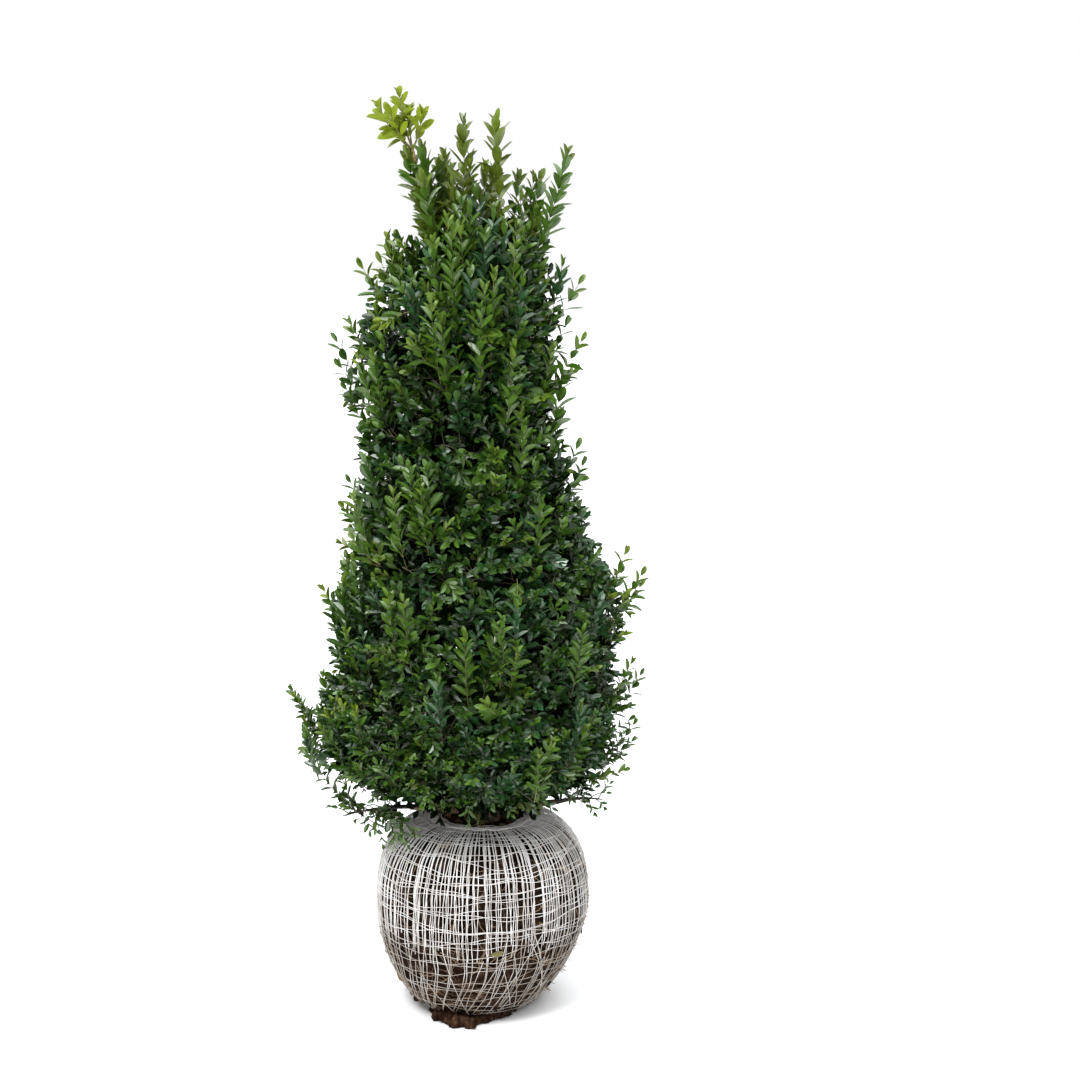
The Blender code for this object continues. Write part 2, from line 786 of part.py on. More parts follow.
def side_shoots(space):
    """Root and tip of each outstanding shoot whose tip is in the space."""
    shoots = []
    for azimuth, out, height in SIDE_SHOOTS:
        tip = radial(azimuth, out, height)
        if in_sector(space, tip):
            shoots.append((tip - radial(azimuth, SIDE_RUN, SIDE_RUN * SIDE_RISE), tip))
    return shoots


def sunk_root(tree, root, tip):
    """The first place, from the tip towards the root, that is well inside the core, or None."""
    for step in range(ROOT_STEPS):
        place = tip.lerp(root, step / ROOT_STEPS)
        near, normal, _, _ = tree.find_nearest(place)
        if (place - near).dot(normal) < -ROOT_SUNK:
            return place
    return None


def drop_scraps(mesh):
    """Keeps the largest connected body of a mesh and removes every loose one."""
    bm = bmesh.new()
    bm.from_mesh(mesh)
    waiting = set(bm.verts)
    bodies = []
    while waiting:
        front = [waiting.pop()]
        body = set(front)
        while front:
            vertex = front.pop()
            for edge in vertex.link_edges:
                other = edge.other_vert(vertex)
                if other in waiting:
                    waiting.remove(other)
                    body.add(other)
                    front.append(other)
        bodies.append(body)
    largest = max(bodies, key=len)
    scraps = [vertex for vertex in bm.verts if vertex not in largest]
    bmesh.ops.delete(bm, geom=scraps, context="VERTS")
    bm.to_mesh(mesh)
    bm.free()


def join_mass(name, base, pieces, material, collection):
    """The base and every piece of the collection as one body. The pieces are removed."""
    modifier = base.modifiers.new("join", "BOOLEAN")
    modifier.operation = "UNION"
    modifier.operand_type = "COLLECTION"
    modifier.collection = pieces
    modifier.solver = "MANIFOLD"
    joined = frozen(base, name, material, collection)
    drop_scraps(joined.data)
    for piece in list(pieces.objects):
        bpy.data.objects.remove(piece, do_unlink=True)
    bpy.data.collections.remove(pieces)


def build_crown_mass(space, seed, limbs, trunk, leaf, bark, plant):
    """One sector of a tier: its bough, and the mass of core, stem, shoots and leaves that it bears."""
    chance = random.Random(seed)
    at_trunk = middle_height(space, TRUNK_RINGS[0][1]) - BALL_TOP
    height = min(at_trunk, TRUNK_RINGS[-1][0] - BOUGH_LEAST_BELOW_FORK)
    stem_foot = space["inner"] - STEM_FOOT_OUTSIDE
    end_height = middle_height(space, stem_foot)
    start, end, foot, direction = build_bough(
        space["bough"], space["middle"], height, stem_foot, end_height, trunk, bark, plant
    )
    limbs = limbs + [(start, end, foot)]
    pieces = new_collection(space["name"] + "_pieces")
    core = build_core(space, chance, leaf, plant)
    tree = BVHTree.FromObject(core, bpy.context.evaluated_depsgraph_get())
    stem = end + direction * GAP
    build_twig(stem, stem + direction * STEM_LENGTH, foot * BOUGH_TAPER, foot / 2.0, 6, leaf, pieces)
    grown = 0
    for root, tip in face_shoots(space, chance):
        root = sunk_root(tree, root, tip)
        if root:
            rest = (FACE_PAIRS, LEAF_LENGTH, chance, limbs, leaf, pieces)
            grown += grow_shoot(space, root, tip, *rest)
    for root, tip in side_shoots(space):
        root = sunk_root(tree, root, tip)
        if root:
            rest = (SIDE_PAIRS, SIDE_LEAF, chance, limbs, leaf, pieces)
            grown += grow_shoot(space, root, tip, *rest)
    for tip, root in LEADERS:
        if in_sector(space, Vector(tip)):
            rest = (LEADER_PAIRS, LEADER_LEAF, chance, limbs, leaf, pieces)
            grown += grow_shoot(space, Vector(root), Vector(tip), *rest)
    join_mass(space["name"], core, pieces, leaf, plant)
    return grown


def build_low_spray(row, seed, trunk, leaf, bark, plant):
    """A bare bough that reaches out low over the ball, and the sparse spray at its end."""
    name, azimuth, reach, fall = row
    chance = random.Random(seed)
    _, end, foot, direction = build_bough(
        name.replace("spray", "bough"),
        azimuth,
        LOW_BOUGH_START,
        LOW_BOUGH_REACH,
        LOW_BOUGH_END,
        trunk,
        bark,
        plant,
    )
    space = {
        "start": azimuth - LOW_SECTOR / 2.0,
        "end": azimuth + LOW_SECTOR / 2.0,
        "holds": in_low_space,
        "leaves": [],
    }
    pieces = new_collection(name + "_pieces")
    collar, tip_radius = end + direction * GAP, foot * BOUGH_TAPER
    stem = build_twig(collar, collar + direction * LOW_COLLAR, tip_radius, tip_radius, 6, leaf, plant)
    stem_foot = collar + direction * LOW_COLLAR / 2.0
    stem_tip = radial(azimuth, reach - LOW_TIP_REACH, end.z - fall)
    build_twig(stem_foot, stem_tip, tip_radius - GAP, TWIG_RADIUS, 3, leaf, pieces)
    away = (stem_tip - stem_foot).normalized()
    grown = 0
    for share, turn in LOW_SIDE_TWIGS:
        root = stem_foot.lerp(stem_tip, share)
        side = Matrix.Rotation(math.radians(turn), 3, "Z") @ away
        tip = root + side * LOW_SIDE_REACH
        grown += grow_shoot(space, root, tip, FACE_PAIRS, LOW_LEAF, chance, [], leaf, pieces)
    root, tip = stem_tip - away * LOW_TIP_ROOT, stem_tip + away * LOW_TIP_REACH
    tip.z += LOW_TIP_LIFT
    grown += grow_shoot(space, root, tip, FACE_PAIRS, LOW_LEAF, chance, [], leaf, pieces)
    join_mass(name, stem, pieces, leaf, plant)
    return grown


def pale_limb_route():
    """The pale leader's bare limb: it starts beside the trunk's fork and climbs out and up."""
    height = TRUNK_RINGS[-1][0] - 2.0 * PALE_RADII[0]
    beside = trunk_radius(height - PALE_RADII[0]) + PALE_RADII[0] + GAP
    start = trunk_axis(height) - Vector((beside, 0.0, 0.0))
    return [start, *(Vector(point) for point in PALE_ROUTE)]


def build_pale_leader(seed, trunk, pale, bark, plant):
    """The bare limb of the pale leader and the head of three leafy shoots at its end."""
    chance = random.Random(seed)
    route = pale_limb_route()
    curve = build_limb("pale_leader_bough", route, PALE_RADII, bark, plant)
    limb = frozen(curve, "pale_leader_bough", bark, plant)
    move = seat(limb, trunk, Vector((1.0, 0.0, 0.0)))
    route = [point + move for point in route]
    away = (route[-1] - route[-2]).normalized()
    foot = route[-1] + away * GAP
    tips = [Vector(tip) for tip in PALE_TIPS]
    space = {"centre": foot.lerp(tips[0], PALE_CENTRE_SHARE), "holds": in_pale_head, "leaves": []}
    pieces = new_collection("pale_leader_pieces")
    stem = build_twig(foot, foot + away * PALE_STEM, PALE_RADII[-1], PALE_RADII[-1], 6, pale, plant)
    grown = 0
    for tip in tips:
        root = foot + away * PALE_STEM / 2.0
        grown += grow_shoot(space, root, tip, FACE_PAIRS, PALE_LEAF, chance, [], pale, pieces)
    join_mass("pale_leader_foliage", stem, pieces, pale, plant)
    return grown


def main():
    """Builds the plant from the ball up."""
    clear_scene()
    plant = new_collection("boxwood_cone")
    soil = make_material("soil", SOIL_BROWN, 0.95)
    net = make_material("netting", NET_WHITE, 0.70)
    bark = make_material("bark", BARK_BROWN, 0.85)
    leaf = make_material("leaf", LEAF_GREEN, 0.40)
    pale = make_material("pale_leaf", PALE_GREEN, 0.45)
    build_root_ball(soil, plant)
    build_netting(net, plant)
    trunk = BVHTree.FromObject(build_trunk(bark, plant), bpy.context.evaluated_depsgraph_get())
    route = pale_limb_route()
    limbs = [(low, high, PALE_RADII[0]) for low, high in zip(route, route[1:])]
    head = route[-1].lerp(Vector(PALE_TIPS[0]), PALE_CENTRE_SHARE)
    limbs.append((head, head + Vector((0.0, 0.0, GAP)), PALE_HEAD_REACH))
    grown = 0
    for seed, space in enumerate(crown_spaces()):
        grown += build_crown_mass(space, seed, limbs, trunk, leaf, bark, plant)
    for seed, row in enumerate(LOW_SPRAYS):
        grown += build_low_spray(row, 100 + seed, trunk, leaf, bark, plant)
    grown += build_pale_leader(200, trunk, pale, bark, plant)
    print("leaves", grown)


main()
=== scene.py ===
"""Looks of the boxwood cone on its netted root ball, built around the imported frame.

Every mass of foliage is grown again by the source's rule: the same spaces, boughs and shoots, carried
on to fine twigs with opposite pairs of small leaves. The soil ball, its net, the bark and the
leaves are meshes made from arrays, joined into a few pieces, each kind apart.

Metres, +Z up, +X to the right and -Y to the front. The origin is the middle of the ball's flat foot.
"""

import math
import random
from collections import namedtuple

import bpy
import numpy as np
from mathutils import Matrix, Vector, noise

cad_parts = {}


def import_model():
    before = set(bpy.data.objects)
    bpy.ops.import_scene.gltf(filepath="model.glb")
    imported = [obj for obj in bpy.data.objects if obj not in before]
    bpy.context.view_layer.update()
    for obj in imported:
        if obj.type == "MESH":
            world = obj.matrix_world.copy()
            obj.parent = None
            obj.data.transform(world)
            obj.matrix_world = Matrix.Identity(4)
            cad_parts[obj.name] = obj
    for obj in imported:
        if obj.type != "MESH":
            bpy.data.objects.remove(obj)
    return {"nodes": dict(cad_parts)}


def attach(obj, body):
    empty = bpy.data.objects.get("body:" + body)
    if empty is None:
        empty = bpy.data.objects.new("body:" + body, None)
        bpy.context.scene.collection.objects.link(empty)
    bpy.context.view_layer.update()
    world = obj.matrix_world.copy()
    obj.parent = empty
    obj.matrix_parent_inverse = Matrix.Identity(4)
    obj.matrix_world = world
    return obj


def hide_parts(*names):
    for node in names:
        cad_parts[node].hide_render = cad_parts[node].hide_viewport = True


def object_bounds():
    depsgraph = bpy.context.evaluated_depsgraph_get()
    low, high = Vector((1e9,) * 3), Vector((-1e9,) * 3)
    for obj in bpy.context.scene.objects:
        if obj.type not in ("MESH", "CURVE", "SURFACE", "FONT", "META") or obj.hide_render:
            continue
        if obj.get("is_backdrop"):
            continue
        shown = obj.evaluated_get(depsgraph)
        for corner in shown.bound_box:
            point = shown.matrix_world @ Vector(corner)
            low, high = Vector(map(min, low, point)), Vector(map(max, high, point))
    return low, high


# The range of turns and phases that are drawn from all the way round
ALL_ROUND = (0.0, 6.28)

# ---------------------------------------------------------------- sizes shared with the source

GAP = 0.0003

# Root ball: radius and height of each ring, from the rim of the net's mouth down to the flat foot
BALL_RINGS = [
    (0.048, 0.226), (0.075, 0.221), (0.1, 0.206), (0.117, 0.178), (0.124, 0.14), (0.121, 0.1),
    (0.107, 0.056), (0.0855, 0.021), (0.06, 0.0),
]
BALL_TOP = BALL_RINGS[0][1]
BALL_BULGE_HEIGHT = 0.125
BALL_LUMP = 0.012
BALL_FOOT_SWELL = 0.10
FOOT_SWELL_AZIMUTH = math.pi

# Trunk: height above the soil and radius of each ring
TRUNK_RINGS = [
    (0.0, 0.023), (0.01, 0.0185), (0.03, 0.015), (0.12, 0.0135), (0.24, 0.012), (0.36, 0.01),
    (0.46, 0.008), (0.54, 0.006), (0.585, 0.004),
]
TRUNK_LEAN = 0.006
TRUNK_SWAY = 0.003

# Crown outline: height, radius of the leafy face, and how far its middle is moved along X
CROWN_OUTLINE = [
    (0.235, 0.106, -0.014), (0.26, 0.14, -0.018), (0.31, 0.184, -0.02), (0.355, 0.184, -0.018),
    (0.41, 0.172, -0.008), (0.5, 0.172, 0.0), (0.55, 0.152, -0.006), (0.6, 0.138, -0.014),
    (0.65, 0.127, -0.022), (0.71, 0.116, -0.026), (0.83, 0.112, -0.025), (0.88, 0.1, -0.012),
    (0.93, 0.078, 0.004), (0.965, 0.036, 0.004),
]

# Tiers: name, height of the lower cone at the axis, azimuth of the first sector, sectors, inner
# radius of the cores, shoots in each row on a sector's face, and the rise of each row's shoots
TIER_SLOPE = 0.75
SKIRT_SLOPE = 0.22
TIERS = [
    ("skirt", 0.246, 18.0, 5, 0.050, 3, (-0.30, 0.60)),
    ("lower", 0.272, 65.0, 4, 0.056, 3, (-0.05, 0.35, 0.75)),
    ("middle", 0.440, 20.0, 4, 0.050, 3, (-0.05, 0.35, 0.75)),
    ("upper", 0.600, 10.0, 3, 0.034, 3, (0.05, 0.40, 0.80)),
    ("top", 0.750, 60.0, 3, 0.026, 3, (0.15, 0.75)),
]
SPACE_TOP = 1.2
MEETING_STEPS = 12
FACE_TOP = 0.920
TWIG_TIP_DEPTH = 0.028
TWIG_RUN = 0.052
ROW_SHIFT = 0.2
SHOOT_SPREAD = 0.1
SIDE_SHARE = 0.1
ROW_SPREAD = (0.15, 0.60)
FACE_ROUGHNESS = 0.005
STEM_LENGTH = 0.050

# Shoots that stand out of the sides: azimuth in degrees, tip's distance from the axis, tip's height
SIDE_SHOOTS = [
    (190.0, 0.128, 0.872), (172.0, 0.146, 0.806), (188.0, 0.154, 0.76), (196.0, 0.148, 0.63),
    (174.0, 0.158, 0.592), (184.0, 0.178, 0.498), (182.0, 0.214, 0.368), (200.0, 0.206, 0.318),
    (4.0, 0.108, 0.854), (350.0, 0.112, 0.79), (354.0, 0.182, 0.518), (6.0, 0.184, 0.39),
    (284.0, 0.176, 0.46), (98.0, 0.176, 0.52), (118.0, 0.134, 0.77), (130.0, 0.198, 0.35),
]
SIDE_RUN = 0.085
SIDE_RISE = 1.1

# Upright leaders of the top tier: the twig's tip, and its foot in the core, as X, Y and Z
LEADERS = [
    ((-0.016, -0.032, 1.018), (-0.018, -0.034, 0.868)),
    ((0.020, -0.022, 1.020), (0.028, -0.030, 0.868)),
    ((0.064, 0.026, 0.958), (0.040, 0.016, 0.862)),
    ((0.092, -0.018, 0.985), (0.046, -0.012, 0.862)),
    ((-0.040, 0.036, 0.985), (-0.028, 0.030, 0.866)),
    ((0.012, 0.052, 0.968), (0.004, 0.038, 0.864)),
    ((-0.056, -0.046, 0.955), (-0.034, -0.030, 0.864)),
]

# Low sprays: name, azimuth in degrees, reach from the axis, and fall below the bough's tip
LOW_SPRAYS = [
    ("low_left_spray", 204.0, 0.160, 0.000),
    ("low_right_spray", 350.0, 0.130, -0.006),
    ("low_back_right_spray", 62.0, 0.150, 0.004),
    ("low_back_left_spray", 134.0, 0.155, 0.006),
]
LOW_TIP_REACH = 0.015
LOW_LEAF_SIZE = 0.66
LOW_TWIG_RADII = (0.0009, 0.0004)
# Tips of the twigs that hang from a low spray over the ball's shoulder
HANGING_TIPS = {
    "low_left_spray": [
        (-0.100, -0.084, 0.220), (-0.084, -0.096, 0.224), (-0.114, -0.074, 0.218), (-0.092, -0.106, 0.236),
        (-0.130, -0.062, 0.230), (-0.072, -0.102, 0.238), (-0.120, -0.086, 0.240), (-0.146, -0.050, 0.240),
    ],
}

# Pale leader: height and shift of its limb's foot on the trunk, route past that, radii, and tips of
# the shoots of its head
PALE_FOOT_HEIGHT = 0.579
PALE_FOOT_SHIFT = 0.008
PALE_ROUTE = [(-0.044, 0.0, 0.862), (-0.061, 0.0, 0.905), (-0.066, 0.0, 0.960), (-0.076, 0.0, 1.012)]
PALE_RADII = [0.0030, 0.0029, 0.0027, 0.0024, 0.0021]
PALE_TIPS = [
    (-0.088, 0.003, 1.062), (-0.109, 0.010, 1.052), (-0.066, -0.012, 1.041),
    (-0.096, -0.012, 1.044), (-0.080, 0.010, 1.046),
]

# Green shoots beside the pale leader's limb: tip and length, the way they stand, and their size
PALE_COMPANIONS = [
    ((-0.080, -0.012, 1.002), 0.048),
    ((-0.066, -0.022, 0.968), 0.080),
    ((-0.060, -0.016, 1.002), 0.105),
    ((-0.046, 0.004, 0.990), 0.090),
    ((-0.066, 0.016, 0.975), 0.085),
    ((-0.056, -0.030, 0.960), 0.080),
    ((-0.077, 0.002, 1.002), 0.080),
    ((-0.064, -0.020, 1.010), 0.075),
]
COMPANION_WAY = (-0.25, 0.0, 0.97)
COMPANION_SIZE = 0.92

# ---------------------------------------------------------------- sizes of the fine growth

# How far the twigs of the source grow on past their tips, by kind
FURTHER = {"source": 0.020, "side": 0.008, "leader": 0.018, "pale": 0.008}
# How far the fine tips of a tier go past its lower side, into the tier below
TIER_OVERLAP = 0.026
# Fine shoots: distance between tips on the face, the most of it that counts, depth of tips below the
# face, length and size of a shoot, and how far its elevation and its azimuth spread, in degrees
FINE_SPACING = 0.0225
MOST_SPACING = 0.88
FINE_DEPTH = (0.007, 0.034)
FINE_LENGTH = (0.050, 0.085)
FINE_SIZES = (0.84, 1.14)
RISE_SPREAD = 29.0
TURN_SPREAD = 42.0
# How far the fine tips move out or in by height, and how far up along the shoot
FINE_TRIM = [
    (0.25, -0.020), (0.285, -0.008), (0.32, 0.002), (0.60, -0.002),
    (0.72, 0.002), (0.80, 0.008), (0.87, -0.002), (0.93, -0.010),
]
FINE_LIFT = 0.12
# How far the end of a side twig may be outside the face, and the share of its shoot's own excess
SIDE_TWIG_OUT = 0.004
SIDE_TWIG_BEYOND = 0.5
# Hollows between the clusters of shoots: their depth and how often they come
HOLLOW_DEPTH = 0.012
HOLLOW_FREQUENCY = 17.0
# Elevation of the shoots on the face, in degrees, by height
FINE_RISE = [(0.22, -12), (0.28, 8), (0.34, 20), (0.45, 27), (0.60, 34), (0.80, 50), (0.92, 76)]
# Vigorous shoots: share of the fine ones, and of those on the left, which starts at a cosine of the
# azimuth, how far they stand out, elevation, length and lowest height
VIGOROUS_SHARE = 0.030
VIGOROUS_SHARE_LEFT = 0.130
LEFT_COSINE = -0.80
VIGOROUS_OUT = (0.000, 0.012)
VIGOROUS_RISE = (70.0, 86.0)
VIGOROUS_LENGTH = (0.085, 0.120)
VIGOROUS_LOWEST = 0.33
# Inner twigs with old leaves, painted near black as shade: how many in each mass, their depth below the
# face, and length
INNER_TWIGS = 52
INNER_DEPTH = (0.036, 0.096)
INNER_LENGTH = (0.035, 0.055)
# Roots of shoots: how far above the space's lower side and how deep below the face they are
ROOT_CLEARANCE = 0.006
ROOT_DEPTH = 0.034
# Shoots that make the ragged edges of the crown: azimuth, distance from the axis, height of the tip,
# length and elevation
EDGE_SHOOTS = [
    (181.0, 0.104, 0.91, 0.06, 72.0), (188.0, 0.094, 0.908, 0.07, 78.0),
    (172.0, 0.104, 0.9, 0.065, 70.0), (194.0, 0.104, 0.894, 0.065, 68.0),
    (184.0, 0.112, 0.884, 0.06, 62.0), (186.0, 0.164, 0.795, 0.09, 52.0),
    (352.0, 0.112, 0.672, 0.07, 60.0), (2.0, 0.118, 0.65, 0.07, 60.0),
    (354.0, 0.168, 0.548, 0.085, 60.0), (2.0, 0.164, 0.522, 0.08, 55.0), (350.0, 0.17, 0.5, 0.08, 60.0),
    (4.0, 0.098, 0.812, 0.06, 55.0), (354.0, 0.176, 0.418, 0.085, 55.0), (2.0, 0.174, 0.392, 0.08, 50.0),
    (181.0, 0.224, 0.382, 0.085, 52.0), (354.0, 0.18, 0.345, 0.08, 45.0),
    (2.0, 0.178, 0.318, 0.08, 30.0), (346.0, 0.172, 0.296, 0.075, 15.0), (8.0, 0.15, 0.268, 0.07, 10.0),
    (352.0, 0.15, 0.262, 0.07, 5.0),
]
# Small leaders between the tall ones: how many, how far from the axis, their tips' heights and how
# these fall outwards, their lengths, and how far they are moved
SMALL_LEADERS = 30
SMALL_LEADER_REACH = 0.072
SMALL_LEADER_TIPS = (0.925, 1.000)
SMALL_LEADER_FALL = 0.55
SMALL_LEADER_LENGTH = (0.09, 0.13)
SMALL_LEADER_SHIFT = (0.008, 0.0, 0.0)
# Young shoots that stand out of the face, most of them in front: azimuth, height and length
FRONT_SHOOTS = [
    (238.0, 0.66, 0.11), (244.0, 0.64, 0.09), (231.0, 0.63, 0.09), (298.0, 0.705, 0.12),
    (303.0, 0.62, 0.1), (285.0, 0.52, 0.085), (279.0, 0.5, 0.08), (311.0, 0.48, 0.08),
    (256.0, 0.434, 0.075), (311.0, 0.395, 0.07), (292.0, 0.35, 0.06), (250.0, 0.95, 0.13),
    (267.0, 0.962, 0.14), (284.0, 0.94, 0.12), (258.0, 0.922, 0.12), (275.0, 0.915, 0.12),
    (240.0, 0.905, 0.1), (296.0, 0.9, 0.1), (266.0, 0.878, 0.1), (246.0, 0.93, 0.11),
    (262.0, 0.944, 0.13), (290.0, 0.925, 0.11), (255.0, 0.885, 0.1), (280.0, 0.872, 0.1),
    (232.0, 0.87, 0.09), (300.0, 0.868, 0.09), (246.0, 0.84, 0.09), (272.0, 0.832, 0.09),
    (186.0, 0.352, 0.06), (191.0, 0.338, 0.055), (180.0, 0.33, 0.05), (175.0, 0.348, 0.055),
    (2.0, 0.88, 0.06),
]
FRONT_SHOOT_RISE = 76.0
FRONT_SHOOT_OUT = 0.006

# Leaves: length and width
LEAF_LENGTH = 0.0205
LEAF_WIDTH = 0.0089
# Size of the leaves by height
LEAF_SIZES = [(0.22, 0.64), (0.33, 0.72), (0.46, 0.86), (0.60, 0.96), (0.95, 1.08)]
# Slimness of the leaves by height
LEAF_SLIMMING = ([0.78, 0.94], [1.0, 0.88])
# How far the blades lean from the twig, and how far they are grown, by the pair's number from the tip
LEAF_LEANS = ([0, 1, 3], [math.radians(20.0), math.radians(36.0), math.radians(54.0)])
LEAF_GROWTH = ([0, 1, 2, 3], [0.66, 0.84, 0.95, 1.0])
LEAF_FOLD = 0.24
LEAF_CURL = 0.13
UPRIGHT_LEAN = 0.76
UPRIGHT_KINDS = ("leader", "small leader", "front", "vigorous")
# Buds at the tips of shoots: length as a share of a leaf's, and width as a share of their length
BUD_LENGTH = 0.45
BUD_WIDTH = 0.38
# Kinds of shoots: size and slimness of the leaves, distance between pairs as a share of a leaf's
# length, numbers of side twigs to choose from, bare share of the stem, and the leaves' outline
SHOOT_KINDS = {
    "source": (0.98, 1.00, 0.42, (3,), 0.15, "plain"),
    "face": (0.94, 1.00, 0.44, (0, 1, 1), 0.20, "plain"),
    "inner": (1.60, 1.15, 0.50, (2,), 0.10, "inner"),
    "vigorous": (1.10, 0.92, 0.38, (0,), 0.06, "fine"),
    "front": (1.02, 0.88, 0.37, (1,), 0.10, "fine"),
    "side": (1.08, 0.90, 0.46, (2,), 0.15, "fine"),
    "leader": (1.22, 0.98, 0.31, (0,), 0.08, "fine"),
    "small leader": (1.08, 0.85, 0.37, (0, 1), 0.10, "fine"),
    "low": (0.95, 1.05, 0.60, (0,), 0.20, "plain"),
    "pale": (1.14, 1.16, 0.36, (0,), 0.06, "fine"),
}
# Outlines of a blade: share of its length, and half width as a share of the widest
LEAF_OUTLINES = {
    "fine": [(0.0, 0.08), (0.17, 0.54), (0.40, 0.94), (0.62, 1.0), (0.87, 0.66), (1.0, 0.0)],
    "plain": [(0.0, 0.08), (0.24, 0.68), (0.54, 1.0), (0.86, 0.66), (1.0, 0.0)],
    "inner": [(0.0, 0.08), (0.30, 0.85), (0.72, 0.92), (1.0, 0.0)],
}
# How far the blades turn to the light: away from the axis, and up
LIGHT_OUTWARD = 0.52
LIGHT_UP = 0.50
PALE_LIGHT = (0.0, -1.1, 0.5)

# Leaf colours, from the oldest to the youngest, how rough each surface is and its gloss. The first, near
# black, is painted shade for the leaves deep in the crown
LEAF_COLOURS = {
    "deep_shade": ((0.0009, 0.0042, 0.0003), 0.55, 0.03),
    "dark": ((0.0055, 0.0230, 0.0012), 0.36, 0.50),
    "mid": ((0.021, 0.062, 0.0034), 0.35, 0.68),
    "blue": ((0.015, 0.059, 0.0140), 0.33, 0.78),
    "leafy": ((0.047, 0.105, 0.008), 0.36, 0.56),
    "fresh": ((0.082, 0.140, 0.013), 0.32, 0.45),
    "yellow_green": ((0.115, 0.168, 0.012), 0.36, 0.38),
    "leader": ((0.076, 0.113, 0.010), 0.34, 0.36),
    "olive": ((0.068, 0.098, 0.019), 0.40, 0.40),
    "lime": ((0.142, 0.190, 0.0060), 0.62, 0.20),
}
LITTER_COLOURS = {
    "tan": ((0.260, 0.170, 0.080), 0.75, 0.20),
    "brown": ((0.120, 0.070, 0.034), 0.80, 0.20),
    "olive": ((0.150, 0.135, 0.050), 0.75, 0.20),
}
COLOUR_NAMES = list(LEAF_COLOURS)
# Numbers of the twigs' materials; the old bark is painted near black, as shade inside the crown
OLD_BARK_PAINTED_SHADE, YOUNG_BARK, GREEN_STEM = 0, 1, 2
# Colours of a shoot's older leaves and of its two youngest pairs, to choose from, by group of shoots
COLOUR_PAIRS = {
    "front": [("leafy", "fresh"), ("blue", "leafy"), ("leafy", "leafy")],
    "vigorous": [("leafy", "fresh"), ("mid", "leafy"), ("leafy", "leafy"), ("leafy", "fresh")],
    "side": [("leafy", "fresh"), ("mid", "leafy"), ("leafy", "yellow_green"), ("leafy", "fresh")],
    "leader": [("leader", "yellow_green"), ("leader", "leader"), ("leafy", "leader"), ("leader", "fresh")],
    "lowest": [("olive", "olive"), ("olive", "leafy"), ("mid", "olive")],
    "young": [("mid", "fresh"), ("leafy", "fresh"), ("leafy", "leafy"), ("mid", "leafy")],
    "bluish": [("blue", "blue"), ("blue", "leafy"), ("dark", "blue")],
    # Some old shoots take the near-black painted shade for their older leaves
    "old": [
        ("dark", "mid"), ("dark", "dark"), ("mid", "mid"),
        ("mid", "leafy"), ("deep_shade", "dark"), ("dark", "mid"),
    ],
}
# Shares of the shoots on the face by height: the olive ones lowest down, then the young ones
OLIVE_SHARES = [(0.235, 0.70), (0.310, 0.0)]
YOUNG_SHARE = 0.07
YOUNG_SHARE_TOP = 0.5
YOUNG_SHARE_LEFT = 0.12
# Where the left starts, as X: for vigorous shoots, for the young ones, and for the bluish ones
VIGOROUS_LEFT, YOUNG_LEFT, BLUISH_LEFT = -0.06, -0.08, -0.04
# Heights between which more shoots are bluish, and their share there and elsewhere
BLUISH_HEIGHTS = (0.26, 0.62)
BLUISH_SHARES = (0.46, 0.24)

STEM_RADIUS = 0.00070
STEM_TIP_RADIUS = 0.00040
STEM_POINTS = 5
SIDE_TWIG_POINTS = 3
FINE_SIDES = 3
BRANCH_POINTS = 4
LEAST_BRANCH = 0.0009
# The most masses that are joined into one piece
MASSES_IN_PIECE = 3

# ---------------------------------------------------------------- sizes of the ball's finish

# Order of a quad's corners that turns it outwards where the rows run down
OUTWARDS = [0, 3, 2, 1]
SOIL_COLUMNS = 184
SOIL_ROWS = 100
MOUTH_ROWS = 26
MOUTH_DEPTH = 0.004
# Share of the side below which the soil is rougher, and how much rougher it is there and in the mouth
ROUGH_FROM = 0.80
ROUGHER = 1.2
SOIL_RELIEF = [(0.0030, 34.0), (0.0016, 95.0), (0.0009, 260.0)]
FRONT = math.radians(265.0)
NET_LIFT = 0.0022
STRAND_WIDTHS = ([0.08, 0.28, 0.45, 0.70], [0.00086, 0.00068, 0.00060, 0.00052])
STRAND_THICKNESS = 0.00040
STRAND_POINTS = 38
HOOP_POINTS = 145
HOOP_LIFT = 0.0005
HOOP_SLIMNESS = 0.66
# Layers of the net: upright strands, hoops, how far down they reach, lift, and seed
NET_LAYERS = [
    (88, 27, 0.940, 0.0, 3),
    (156, 13, 0.585, 0.0006, 4),
]
# How far the net stands off at the shares of the side: its shoulder is slack
SHOULDER_LIFT = ([0.02, 0.14, 0.26, 0.42], [0.0, 0.0045, 0.0035, 0.0])
# Bunching of the upright strands: how much, and how many times round the ball
NET_BUNCHES = [(0.006, 5), (0.005, 9), (0.006, 17)]
# Waves of the hoops along the side, as shares of its length, and how many times round the ball
HOOP_WAVES = [(0.0120, 2), (0.0100, 3), (0.0060, 7), (0.0030, 15)]
# Heights that part the strands' four tones, darker towards the foot and lightest on top, where painted
# light makes up for the crown's shade, and how ragged those lines are
NET_TONE_HEIGHTS = [0.055, 0.110, 0.165]
NET_TONE_SPREAD = 0.028
# Uneven strands: how far they are off their even places, as a share of the distance between them, how
# they sway and drift aside, how their ends differ, and how far hoops are off their even places
STRAND_SPREAD = 0.3
STRAND_SWAY = 0.004
SWAYS = 8.0
STRAND_DRIFT = 0.044
LAST_SPREAD = 0.055
HOOP_SPREAD = 0.14
# The twist low on the front: how far the net is pulled aside, and the share where that starts
NET_SKEW = 0.42
NET_SKEW_START = 0.66
# Slanted strands: how many, the share of them near the front and their spread round it, where they
# start and end down the side, how far they run aside, and their lift
SLANTED_STRANDS = 24
SLANTED_IN_FRONT = 0.6
SLANTED_SPREAD = 0.7
SLANTED_STARTS, SLANTED_ENDS = (0.48, 0.66), (0.80, 0.95)
SLANTED_LEANS = (0.15, 0.55)
SLANTED_LIFT = 0.0009
